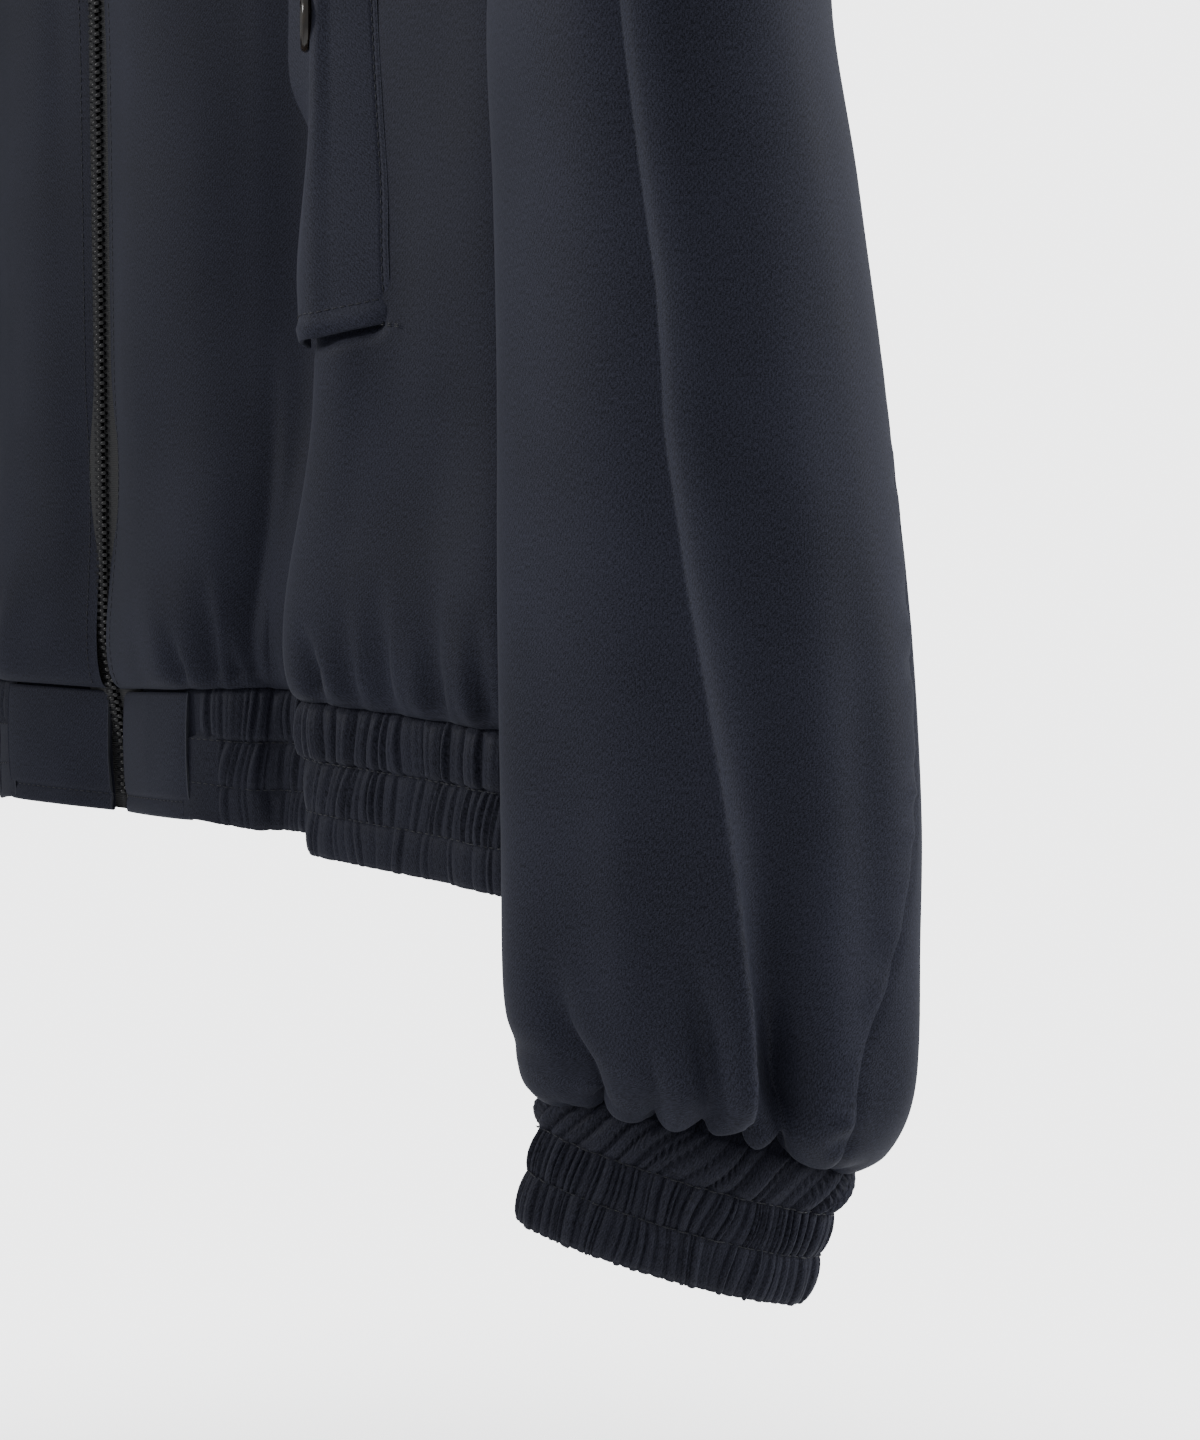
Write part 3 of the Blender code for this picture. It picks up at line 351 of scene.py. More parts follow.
def normals_of(grid, inside, round_it=False):
    """Normals of a grid, pointing away from the points inside it."""
    up = np.gradient(grid, axis=0)
    if round_it:
        across = np.roll(grid, -1, axis=1) - np.roll(grid, 1, axis=1)
    else:
        across = np.gradient(grid, axis=1)
    found = unit(np.cross(across, up))
    return found if np.sum(found * (grid - inside)) > 0 else -found


def fold_relief(across, height, folds):
    """Sum of soft folds at places given by how far across and how high they are."""
    total = np.zeros_like(across)
    for *sizes, from_foot in folds:
        low_x, low_z, high_x, high_z, bow, left, right, depth = np.array(sizes) / 1000
        t = (height - low_z) / (high_z - low_z)
        inside = np.clip(t, 0.0, 1.0)
        line = low_x + (high_x - low_x) * inside + bow * 4 * inside * (1 - inside)
        away = across - line
        reach = np.where(away < 0, left, right)
        if from_foot:
            strength = 1 - smooth(t, 0.15, 1.0)
            reach = reach * (0.6 + 0.8 * inside)
        else:
            strength = smooth(t, 0.0, 0.45) * (1 - smooth(t, 0.55, 1.0))
        total += depth * strength * hump(away, reach)
    return total


def soft_noise(across, height, size, seed):
    """Smooth unevenness from -1 to 1, made of a few long waves in fixed directions."""
    draw = np.random.RandomState(seed)
    total = np.zeros_like(across)
    for _ in range(7):
        angle = draw.uniform(0, math.pi)
        wave = size * draw.uniform(0.7, 1.8)
        phase = draw.uniform(0, 2 * math.pi)
        total += np.sin((across * math.cos(angle) + height * math.sin(angle) * 0.45)
                        * 2 * math.pi / wave + phase)
    return total / 4.0


def run_length(points, axis=0):
    """How far each point is along its line, or along its row or column of a grid."""
    steps = np.linalg.norm(np.diff(points, axis=axis), axis=-1)
    start = np.zeros_like(np.take(steps, [0], axis=axis))
    return np.concatenate((start, np.cumsum(steps, axis=axis)), axis)


def cloth_map(grid):
    """Each point's place on the cloth in metres: along the threads across it, and up it."""
    across, up = run_length(grid, 1), run_length(grid[:, grid.shape[1] // 2])
    return np.stack((across, np.broadcast_to(up[:, None], across.shape)), -1)


def cloth_object(name, grid, places, inside, round_it=False, over_it=False):
    """A mesh from a grid, outside out, with its cloth map. It may close round or over itself;
    one that closes only over itself gets its two ends too."""
    rows, columns = grid.shape[:2]
    last_row = rows if over_it else rows - 1
    last_column = columns if round_it else columns - 1
    row, column = np.meshgrid(np.arange(last_row), np.arange(last_column), indexing="ij")
    after_row, after_column = row + 1, column + 1
    corners = ((row, column), (row, after_column), (after_row, after_column), (after_row, column))
    points = np.stack([(r % rows) * columns + c % columns for r, c in corners], -1).reshape(-1, 4)
    mapped = np.stack([places[np.minimum(r, places.shape[0] - 1),
                              np.minimum(c, places.shape[1] - 1)] for r, c in corners], 2)
    mapped = mapped.reshape(-1, 4, 2)
    at = grid.reshape(-1, 3)
    across = at[points[:, 1]] - at[points[:, 0]]
    up = at[points[:, 3]] - at[points[:, 0]]
    facing = np.cross(across, up)
    core = np.broadcast_to(inside, grid.shape).reshape(-1, 3)[points[:, 0]]
    flipped = np.sum(facing * (at[points[:, 0]] - core)) < 0
    if flipped:
        points, mapped = points[:, ::-1], mapped[:, ::-1]
    faces, mapped = points.tolist(), mapped.reshape(-1, 2)
    if over_it and not round_it:
        down = list(range(0, rows * columns, columns))
        ends = (down, [number + columns - 1 for number in down][::-1])
        faces += [end if flipped else end[::-1] for end in ends]
        mapped = np.concatenate((mapped, np.zeros((2 * rows, 2))))
    mesh = bpy.data.meshes.new(name)
    mesh.from_pydata(at.tolist(), [], faces)
    layer = mesh.uv_layers.new(name="cloth")
    layer.data.foreach_set("uv", mapped.reshape(-1).astype(np.float32))
    mesh.shade_smooth()
    return placed(name, mesh)


def sew_on(piece, finish, node, slot="cloth", **sheet):
    """Dresses a node of the jacket with a piece: gives it its finish, ties it to the jacket and
    hides the node's solid. The cut given with it is not used.
    """
    piece.data.materials.append(finish)
    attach(piece, "jacket")
    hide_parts(node)


def twill(name, dark, light, roughness=0.62):
    """Fine twill: diagonal wales, uneven threads, a brushed face and slow changes of tone."""
    made, shader, start = new_material(name, dark, roughness, {
        "Sheen Weight": 0.1, "Sheen Roughness": 0.42, "Sheen Tint": (0.8, 0.84, 0.98, 1.0),
        "Specular IOR Level": 0.12})
    cloth = start.node("ShaderNodeUVMap", {"uv_map": "cloth"})
    wales = start.node("ShaderNodeTexWave", {"wave_type": "BANDS", "bands_direction": "DIAGONAL"},
                       {"Vector": cloth * Vector((1.0, -1.0, 1.0)), "Scale": 520.0,
                        "Distortion": 1.2, "Detail": 1.0, "Detail Scale": 1.5}, 1)
    threads, fuzz, slow = [
        start.node("ShaderNodeTexNoise", {"noise_dimensions": "2D"},
                   {"Vector": cloth * Vector((*stretch, 1.0)), "Scale": 1.0, "Detail": detail,
                    "Roughness": rough})
        for stretch, detail, rough in (((2600.0, 900.0), 2.0, 0.5), ((2900.0, 2900.0), 3.0, 0.7),
                                       ((26.0, 26.0), 3.0, 0.5))]
    grain = wales * 0.12 + threads * 0.8 + fuzz * 1.4
    tone = start.node("ShaderNodeMapRange", (),
                      {"Value": grain + (slow - 0.5) * 0.22, "From Min": 0.84, "From Max": 1.48})
    start.node("ShaderNodeMix", {"data_type": "RGBA"},
               {0: tone, 6: (*dark, 1.0), 7: (*light, 1.0)}, 2).into(shader, "Base Color")
    (roughness + (fuzz - 0.5) * 0.16 + (slow - 0.5) * 0.1).into(shader, "Roughness")
    start.bump(0.2, 0.0001, grain).into(shader, "Normal")
    return made


cloth_finish = twill("navy twill", (0.0055, 0.006, 0.0102), (0.039, 0.0415, 0.064))
front_shares = np.linspace(0, 1, 151)
front_base = panel(FRONT_PLAN, front_shares, spaced((0, 0.1, 1), (25, 115)),
                   np.linspace(0, 1, 96) ** 1.15, True)


def seam_roll(grid, inward, columns=(), rows=(), depth=SEAM_DEPTH, reach=0.0022):
    """Turns a panel's sewn edges into their seams: its first (0) or last (1) columns and rows."""
    rolled = grid.copy()
    for axis, ends in ((1, columns), (0, rows)):
        from_start = run_length(grid, axis)
        for end in ends:
            away = np.take(from_start, [-1], axis=axis) - from_start if end else from_start
            rolled += inward * (np.clip(1 - away / reach, 0, 1) ** 2 * depth)[..., None]
    return rolled


def into_seams(grid):
    """Directions in which the side and armhole seams turn in, alike for the pieces they join."""
    around = unit(grid * (0.0, -1.0, -1.0) + np.array((0.0, -0.012, -0.275)))
    beside = -np.sign(grid) * (1.0, 0.0, 0.0)
    return unit(beside + (around - beside) * smooth(grid[..., 2:3], -0.4, -0.372))


def free_cloth(base, shares):
    """How freely a panel moves: not at all at its side, armhole, neck and shoulder seams."""
    below_top = base[-1:, :, 2] - base[..., 2]
    return smooth(below_top, 0.0, 0.03) * smooth(1 - shares, 0.0, 0.05)


def with_allowance(grid, inward):
    """The panel with its foot turned in and let down behind the band it is sewn to."""
    foot = grid[:1] + inward[0] * SEAM_DEPTH
    behind = grid[:1] + inward[0] * 0.0034 + (0, 0, -0.0006)
    return np.concatenate((behind + (0, 0, -0.006), behind, foot, grid))


def body_inside(grid):
    """Points in the middle of the body, level with a panel's points."""
    return grid * (0.0, 0.0, 1.0) + np.array((0.0, -0.012, -0.03))


def finished_panel(base, relief, shares, sides, cut=0.0):
    """A panel with its relief, calm at its seams, and its sewn edges turned into them."""
    out = normals_of(base, body_inside(base))
    relief = relief * free_cloth(base, shares)
    relief = relief * smooth(base[..., 2] - base[:1, :, 2], -0.0005, 0.007) - cut
    draped = seam_roll(base + out * relief[..., None], -out, rows=(0,), depth=0.0016)
    draped = seam_roll(draped, np.array((0, 0, -1.0)), rows=(1,))
    return with_allowance(seam_roll(draped, into_seams(base), columns=sides), -out)


def finished_front(base, folds, seed):
    """A front with its folds, its uneven hang and its pocket mouth."""
    x, z = base[..., 0], base[..., 2]
    relief = fold_relief(x, z, folds)
    relief += 0.0011 * soft_noise(x, z, 0.085, seed) * smooth(z, CALM_LOW, CALM_HIGH)
    relief *= smooth(x, 0.006, 0.022) * (1 - 0.8 * smooth(z, -0.2, -0.1))
    mouth_z = MOUTH_Z + MOUTH_SLOPE * (x - MOUTH_X)
    cut = MOUTH_DEPTH * hump(z - mouth_z, MOUTH_REACH) * smooth(x, 0.14, 0.152) * (
        1 - smooth(x, 0.166, 0.172))
    return finished_panel(base, relief, front_shares, (1,), cut)


front_left_grid = finished_front(front_base, FRONT_FOLDS, 11)
other_folds = [(lx + 4, lz, hx - 3, hz + 12, bow, left * 1.1, right, depth * 0.9, foot)
               for lx, lz, hx, hz, bow, left, right, depth, foot in FRONT_FOLDS]
front_right_grid = finished_front(front_base, other_folds, 12) * (-1, 1, 1)
front_map = cloth_map(front_left_grid)
for name, grid in (("front_left", front_left_grid), ("front_right", front_right_grid)):
    piece = cloth_object(name + "_cloth", grid, front_map, body_inside(grid))
    sew_on(piece, cloth_finish, name, flat=(0.345, 0.600), held="hung", rests_on=["hanger_bar"],
           area=0.165)


# Back. One panel of the same twill, cut on the fold, bloused over the hem band. It hangs from
# the shoulder seams, so its folds run down from them and up from the gathers.
BACK_PLAN = np.array((
    # In millimetres: hem_x, hem_y, seam_z, waist_x, waist_y, chest_x, chest_y
    (0, 40, -681, 0, 42.5, 0, 48),
    (40, 41, -681, 41, 43.5, 45, 49),
    (80, 41, -681, 82, 43.5, 90, 49),
    (120, 40, -681, 123.5, 42.2, 135, 47),
    (160, 37, -681, 164, 38.5, 178, 42),
    (195, 30, -681, 199, 30.3, 213, 31),
    (222, 15, -681, 225, 14.5, 236, 12),
    (232.5, -3, -681, 237.2, -3.6, 248, -6),
    (233, -15, -681, 238, -15, 249, -18),
)) / 1000
BACK_FOLDS = (
    (-198, -681, -190, -620, 1, 6, 5, -2.6, 1),
    (-176, -681, -170, -595, -1, 7, 8, 2.4, 1),
    (-148, -681, -150, -615, 1, 6, 4, -2.6, 1),
    (-122, -681, -118, -585, 2, 8, 7, 2.6, 1),
    (-93, -681, -97, -630, 0, 5, 6, -2.8, 1),
    (-66, -681, -60, -605, 1, 7, 6, 2, 1),
    (-37, -681, -34, -618, -1, 6, 5, -2.6, 1),
    (-9, -681, -13, -590, 2, 8, 7, 2.6, 1),
    (21, -681, 26, -625, 0, 5, 6, -2.6, 1),
    (47, -681, 45, -610, 1, 6, 7, 2, 1),
    (76, -681, 80, -628, 0, 6, 5, -2.8, 1),
    (104, -681, 101, -588, -1, 8, 7, 2.6, 1),
    (133, -681, 138, -620, 1, 5, 6, -2.4, 1),
    (161, -681, 156, -600, 0, 7, 6, 2.4, 1),
    (188, -681, 185, -628, 0, 6, 5, -2.6, 1),
    (125, -630, 168, -270, 10, 26, 20, 4.5, 0),
    (60, -640, 120, -200, 12, 22, 28, -4, 0),
    (-40, -630, -95, -220, -10, 28, 22, 4.2, 0),
    (-130, -640, -175, -250, -8, 20, 26, -4.4, 0),
    (0, -560, -15, -300, 8, 24, 24, -3, 0),
)
back_half = panel(BACK_PLAN, np.linspace(0, 1, 95), spaced((0, 0.1, 1), (17, 83)),
                  np.linspace(0, 1, 76) ** 1.15, False)
back_base = np.concatenate(((back_half * (-1, 1, 1))[:, :0:-1], back_half), axis=1)
back_x, back_z = back_base[..., 0], back_base[..., 2]
back_relief = fold_relief(back_x, back_z, BACK_FOLDS)
back_relief += 0.0016 * soft_noise(back_x, back_z, 0.1, 21) * smooth(back_z, CALM_LOW, CALM_HIGH)
back_relief *= 1 - 0.9 * smooth(back_z, -0.22, -0.1)
back_grid = finished_panel(back_base, back_relief,
                           np.abs(np.linspace(-1, 1, back_base.shape[1])), (0, 1))
back_cloth = cloth_object("back_cloth", back_grid, cloth_map(back_grid), body_inside(back_grid))
sew_on(back_cloth, cloth_finish, "back", flat=(0.580, 0.610), held="hung",
       rests_on=["hanger_bar"], area=0.330)


# Collar. A soft stand of the same twill, doubled over at its top edge and sewn into the neck.
COLLAR_HEIGHT, COLLAR_WALL = 0.055, 0.0024


def folded_rows(outer, wall, inside):
    """Rows of a doubled piece: up its outer face, over the fold and down its inner face."""
    inner = outer - normals_of(outer, inside) * wall
    up = unit(outer[-1] - outer[-2])
    middle = (outer[-1] + inner[-1]) / 2
    edge = [middle + (outer[-1] - middle) * math.cos(turn) + up * (wall / 2 * math.sin(turn))
            for turn in (math.pi / 4, math.pi / 2, math.pi * 3 / 4)]
    picked = np.linspace(len(outer) - 1, 0, 8).round().astype(int)
    return np.concatenate((outer, np.array(edge), inner[picked]))


collar_share = np.linspace(0, NECK_SHARE, 121)
neck_half = np.concatenate((top_edge(collar_share, True),
                            top_edge(collar_share, False)[-2::-1]))
neck_ring = np.concatenate((neck_half * (-1, 1, 1), neck_half[-2::-1]))
neck_ring += (0.0, 0.0, 0.0006)
climbs = np.linspace(0, 1, 30)[:, None, None]
collar_out = unit(neck_ring * (1.0, 1.0, 0.0))[None]
bulge = 0.003 * np.sin(np.pi * climbs) + 0.0007 * np.sin(np.pi * np.minimum(climbs * 9, 1))
collar_outer = (neck_ring[None] + climbs * (0, 0, COLLAR_HEIGHT - COLLAR_WALL / 2)
                + collar_out * bulge)
# The top edge runs smoothly past the shoulder seams, where the neck seam turns a corner
eased = np.convolve(np.pad(neck_ring[:, 2], 40, "edge"), np.hanning(83)[1:-1] / 41, "valid")
collar_outer[..., 2] += climbs[..., 0] ** 1.5 * (eased - neck_ring[:, 2])
ring_place = np.linspace(0, 0.44, collar_outer.shape[1])[None] * np.ones((30, 1))
collar_wave = 0.0007 * soft_noise(ring_place, collar_outer[..., 2], 0.06, 31)
collar_outer += collar_out * (collar_wave * np.sin(np.pi * climbs[..., 0]))[..., None]
# Its seam allowance goes down inside the neck
let_down = np.array((0.0065, 0.004, 0.0018))[:, None, None]
allowed = collar_outer[:1] - collar_out * (SEAM_DEPTH + let_down * 0.25) - let_down * (0, 0, 1)
collar_outer = np.concatenate((allowed, collar_outer))
collar_grid = folded_rows(collar_outer, COLLAR_WALL, collar_outer * (0, 0, 1))
collar = cloth_object("collar_cloth", collar_grid, cloth_map(collar_grid),
                      collar_grid * (0, 0, 1), over_it=True)
sew_on(collar, cloth_finish, "collar", flat=(0.440, 0.056), held="gathered", rests_on=[])


# Sleeves. An upper and an under piece each, full above the cuff. The near side hangs as one flat
# plane up to a long soft ridge, and the fullness hangs over the cuff in lobes between creases.
SLEEVE_RINGS = np.array((
    # In millimetres: z, x, y, half_width, near, far. In degrees: turn, tilt, back_seam
    (-420, 280, -53, 47, 50, 25, 49, 0, 0),
    (-450, 273.5, -63, 44, 49, 25.5, 45, 0, 0),
    (-489, 267, -71.1, 42.9, 48, 27, 43, 0, 1),
    (-541, 269.9, -68.5, 46.5, 44, 29, 43, 0, 4),
    (-593, 273.3, -65.3, 50.4, 41, 30, 43, 0, 9),
    (-645, 275.8, -63, 53.3, 38, 30, 43, 0, 14),
    (-697, 276.9, -61.9, 54.6, 36, 29, 43, 0, 22),
    (-735, 276.9, -62, 54.5, 35, 28, 43, 1, 34),
    (-756, 277.2, -61.7, 54.2, 34, 27, 43, 5, 46),
    (-769, 277.4, -61.5, 52.8, 32.5, 26, 43, 11, 47),
    (-776.8, 275.6, -63.2, 50.4, 29, 24, 43, 15, 44),
    (-781.2, 273.7, -64.9, 46.2, 24, 21, 43, 16, 38),
    (-782.2, 273.6, -65, 41.4, 18.4, 17.2, 43, 16.5, 33),
    (-781.2, 273.7, -64.9, 38, 14.8, 14.8, 43, 16.5, 32),
)) / (6 * (1000,) + 3 * (1,))
RING_STEPS = (10, 12, 14, 14, 14, 14, 12, 14, 14, 14, 12, 6, 4)
# The long ridge: its ring angle at each height
RIDGE = np.array((
    (-250, 112), (-420, 106), (-507, 103), (-538, 102), (-571, 99.5), (-605, 100),
    (-639, 96.5), (-686, 89.5), (-709, 85.5), (-745, 81), (-770, 79.5), (-784, 78.5),
)) / (1000, 1)
# Creases above the cuff, in degrees and millimetres: ring angles at the seam, 12 and 28 above it,
# depth at the seam, reach round the ring, and how far up it runs
CREASES = (
    (76.5, 77.5, 78, 7.2, 3, 40),
    (59, 65, 72, 10, 3.8, 56),
    (31, 30, 30, 3.2, 4, 16),
    (88, 90, 94, 5.2, 2.6, 50),
    (104.5, 106, 108, 6.8, 3.2, 38),
    (128, 125, 137, 7.6, 3.6, 44),
    (143, 144, 146, 2.4, 3, 10),
    (166, 164, 163, 1.2, 4, 10),
    (196, 194, 190, 3, 5, 26),
    (214, 212, 216, 4.4, 5, 40),
    (237, 240, 236, 3, 4, 20),
    (259, 256, 260, 4.6, 5, 44),
    (284, 287, 280, 3.4, 4.4, 28),
    (306, 303, 306, 4.4, 5, 38),
    (329, 331, 334, 3, 4.4, 22),
    (352, 350, 352, 3.6, 5, 30),
    (13, 12, 10, 2, 4, 14),
)
# Longer soft folds: ring angle and height at the foot, the same at the top, reach and height
SLEEVE_FOLDS = (
    (90, -778, 96, -730, 4.5, -4),
    (69.5, -779, 74.5, -743, 4.2, -6),
    (133, -770, 143, -735, 7, -1.8),
    (72, -774, 72, -740, 5, 1.6),
    (112, -760, 118, -680, 9, 1.6),
    (60, -720, 66, -520, 12, 1.4),
    (44, -760, 50, -640, 9, -1.2),
    (205, -750, 220, -430, 12, -4),
    (250, -730, 262, -450, 16, 3.5),
    (300, -750, 290, -460, 14, -4),
    (335, -740, 325, -450, 12, 3),
)
# Middle of the sleeve's head, from the armhole to the first ring
HEAD_MIDDLE = np.array(((245, -10, -275), (262, -10, -300), (272, -20, -330),
                        (280, -30, -360), (283, -45, -390), (280, -53, -420))) / 1000
# A ring has 30 columns, 12 degrees apart from the crown on
CROWN_ANGLE, COLUMN_ANGLE, FRONT_SEAM_COLUMN, BACK_SEAM_COLUMN = 43.0, 12.0, 14, -4
# Columns stand closer together over the ridge
SLEEVE_COLUMNS = spaced((0, 2.5, 6.5, 14, 26, 30), (15, 56, 45, 66, 24))


def armhole_ring(columns):
    """Armhole points for columns from the crown, down the front and up the back."""
    marks = np.array((1.0, 0.992, 0.971, 0.95, 0.9, 0.85, 0.775, 0.7, 0.61, 0.52, 0.43, 0.34,
                      0.25, 0.16, 0.05, 0.0))
    turned = columns % 30
    on_front = turned <= 15
    rise = np.interp(np.where(on_front, turned, 30 - turned), np.arange(16), marks)
    edge = 0 * rise + 1.0
    front = upper_body(FRONT_PLAN, edge, rise, True)
    back = upper_body(BACK_PLAN, edge, rise, False)
    return np.where(on_front[:, None], front, back)


def sleeve_angles(columns, z, back_seam):
    """Ring angles of columns at heights, so that the back seam lies where it is seen."""
    plain = CROWN_ANGLE + columns * COLUMN_ANGLE
    plain = plain + 22.0 * smooth(z, -0.56, -0.42) * np.sin(np.pi * (columns % 30) / 30) ** 2
    reach = (columns - BACK_SEAM_COLUMN) % 30
    share = np.maximum(1 - np.minimum(reach, 30 - reach) / 15, 0.0)
    return plain + (back_seam + 5.0) * share * smooth(-z, 0.44, 0.5)


def ring_points(rows, columns):
    """Points of sleeve rings, one for each table row given, and their ring angles."""
    z, x, y, half_width, near, far, turn, tilt, back_seam = [rows[:, [n]] for n in range(9)]
    turn, tilt = np.radians(turn), np.radians(tilt)
    angles = sleeve_angles(columns[None], z, back_seam)
    along = np.cos(np.radians(angles)) * half_width
    aside = np.sin(np.radians(angles))
    aside = aside * np.where(aside > 0, near, far)
    return np.stack((x + along * np.cos(turn) * np.cos(tilt) + aside * np.sin(turn),
                     y + along * np.sin(turn) * np.cos(tilt) - aside * np.cos(turn),
                     z - along * np.sin(tilt)), -1), angles


def turned_away(angles, line):
    """Signed degrees between ring angles, within half a turn."""
    return (angles - line + 180.0) % 360.0 - 180.0


def sleeve_relief(angles, z, above):
    """How far the sleeve stands out from its rings, at ring angles, heights and heights above
    the cuff."""
    ridge = np.interp(z, RIDGE[::-1, 0], RIDGE[::-1, 1])
    away = turned_away(angles, ridge)
    shown = smooth(z, -0.786, -0.765) * (1 - 0.4 * smooth(z, -0.4, -0.25))
    low_part = 1 - smooth(z, -0.75, -0.66)
    beyond = np.maximum(-away, 0.0)
    fall = np.exp(-beyond / (4.6 - 2.6 * low_part))
    trough = hump(beyond, 34 - 18 * low_part)
    ridge_height = 0.0036 + 0.001 * low_part
    relief = np.where(away > 0, ridge_height * hump(away, 30),
                      ridge_height * fall - (0.004 + 0.0046 * low_part) * (1 - fall) * trough)
    drawn_under = 0.0009 * (beyond / 2.4) ** 2 * np.exp(2 - beyond / 1.2) * shown
    relief += 0.0014 * hump(away + 58, 16) - 0.0018 * hump(away - 52, 22)
    relief *= shown
    relief += 0.0024 * hump(turned_away(angles, 68), 6) * hump(above - 0.009, 0.007)
    lobes = np.zeros_like(angles)
    for foot, middle, top, depth, reach, length in CREASES:
        line = np.interp(above, (0.0, 0.012, 0.028, 0.06), (foot, middle, top, top))
        climb = above * 1000 / length
        across = np.abs(turned_away(angles, line) / (reach * (0.8 + 1.1 * climb)))
        lobes += depth / 1000 * np.clip(1 - climb, 0, 1) ** 1.4 * np.exp(-across ** 1.15)
    relief -= lobes
    for foot, foot_z, top, top_z, reach, height in SLEEVE_FOLDS:
        t = (z * 1000 - foot_z) / (top_z - foot_z)
        line = foot + (top - foot) * np.clip(t, 0, 1)
        fade = smooth(t, -0.25, 0.25) * (1 - smooth(t, 0.45, 1.15))
        relief += height / 1000 * fade * hump(turned_away(angles, line), reach)
    return relief, lobes, drawn_under


def sleeve_grid(columns):
    """The whole sleeve in columns from the crown: its points, ring angles and middle line."""
    last = len(RING_STEPS)
    ring_rows = through(SLEEVE_RINGS, np.append(spaced(range(last + 1), RING_STEPS), last) / last)
    body, angles = ring_points(ring_rows, columns)
    start = armhole_ring(columns)
    height = (start[:, 2:3] - ARMPIT_Z) / (SHOULDER_Z - ARMPIT_Z)
    reach = np.linalg.norm(body[0] - start, axis=1)[:, None]
    leave = unit(np.concatenate((0.75 - 0.1 * height, 0 * height, -0.55 - 0.2 * height), 1))
    below, _ = ring_points(SLEEVE_RINGS[1:2], columns)
    arrive = unit(below[0] - body[0]) * reach
    t = np.linspace(0, 1, 61)[:-1, None, None]
    head = curve(start, leave * reach, body[0], arrive, t)
    angles = np.concatenate((np.repeat(angles[:1], len(head), 0), angles))
    middle = np.concatenate((through(HEAD_MIDDLE, t[:, 0, 0]), ring_rows[:, [1, 2, 0]]))
    return np.concatenate((head, body)), angles, np.repeat(middle[:, None], len(columns), 1)


def dressed_sleeve(seed, shift):
    """A sleeve's points with its ridge, creases and lobes, and its middle line."""
    grid, angles, middle = sleeve_grid(SLEEVE_COLUMNS)
    out = normals_of(grid[::-1], middle[::-1], True)[::-1]
    above = np.linalg.norm(grid - grid[-3], axis=2)
    above[-3:] = 0.0
    z = grid[..., 2]
    relief, lobes, drawn_under = sleeve_relief((angles + shift) % 360.0, z, above)
    turns = np.radians(angles)
    wave = soft_noise(0.045 * np.cos(turns) + 0.02 * np.sin(turns * 2), z, 0.07, seed)
    relief += 0.0009 * wave * smooth(above, 0.0, 0.03)
    beside_seam = (SLEEVE_COLUMNS - BACK_SEAM_COLUMN + 15) % 30 - 15
    pucker = np.sin(z * 470.0 + 2.0 * np.sin(z * 63.0)) * (0.6 + 0.4 * np.sin(z * 151.0))
    pucker = pucker * hump(beside_seam - 0.35, 0.5)
    relief += 0.0008 * pucker * (1 - smooth(z, -0.64, -0.57))
    from_head = np.arange(len(grid))[:, None] / 60.0
    relief = relief * smooth(from_head, 0.25, 1.0)
    relief[-3:] *= 0.4
    sag = 0.001 * hump(above - 0.004, 0.006) * (1 - lobes / 0.003)
    ring_way = unit(np.roll(grid, -1, axis=1) - np.roll(grid, 1, axis=1))
    dressed = grid + out * relief[..., None] + ring_way * drawn_under[..., None]
    dressed[..., 2] -= sag
    lift = 0.005 * hump(turned_away(angles, 74), 30) - 0.004 * hump(turned_away(angles, 156), 24)
    dressed[..., 2] += lift * hump(above, 0.013)
    return dressed, middle


def sleeve_piece(name, grid, middle, first, last, flat, area):
    """One piece of a sleeve, between two columns, with its seam edges turned in."""
    beyond_seam = (SLEEVE_COLUMNS - first) % 30
    picked = np.argsort(beyond_seam)
    picked = picked[beyond_seam[picked] <= last - first + 1e-6]
    part, core = grid[:, picked], middle[:, picked]
    inward = -normals_of(part[::-1], core[::-1])[::-1]
    part = seam_roll(part, inward, columns=(0, 1), depth=0.0006, reach=0.0016)
    part = seam_roll(part, into_seams(part), rows=(0,))
    # Its seam allowance lies inside the body's armhole
    tucked = part[:1] + into_seams(part[:1]) * SEAM_DEPTH - np.sign(part[:1]) * (0.0045, 0, 0)
    part = np.concatenate((tucked + (0.0, 0.0, 0.003), part))
    core = np.concatenate((core[:1], core))
    piece = cloth_object(name + "_cloth", part, cloth_map(part), core)
    sew_on(piece, cloth_finish, name, flat=flat, held="gathered", rests_on=[], area=area)


for side, seed, shift, turn in (("left", 41, 0.0, 1.0), ("right", 42, 9.0, -1.0)):
    sleeve, sleeve_middle = dressed_sleeve(seed, shift)
    sleeve, sleeve_middle = sleeve * (turn, 1, 1), sleeve_middle * (turn, 1, 1)
    sleeve_piece("upper_sleeve_" + side, sleeve, sleeve_middle, BACK_SEAM_COLUMN,
                 FRONT_SEAM_COLUMN, (0.290, 0.600), 0.108)
    sleeve_piece("under_sleeve_" + side, sleeve, sleeve_middle, FRONT_SEAM_COLUMN,
                 BACK_SEAM_COLUMN + 30, (0.200, 0.420), 0.066)


# Cuffs. Tubes of the same twill, doubled over three channels of elastic. The cloth is gathered
# tightly along the two stitch rows and swells between them, and the fold at the foot is toothed.
CUFF_TURN, CUFF_TILT = math.radians(43.0), math.radians(16.5)
CUFF_HALF_WIDTH, CUFF_HALF_DEPTH, CUFF_HEIGHT = 0.0405, 0.0165, 0.0398
CUFF_PLACE = (0.2752, -0.0635, -0.7831)
CUFF_CHANNELS = (0.0, 0.35, 0.67, 1.0)
# The wall of both elastic bands, and the height of the fold at their feet
BAND_WALL, FOLD_HEIGHT = 0.0012, 0.0011


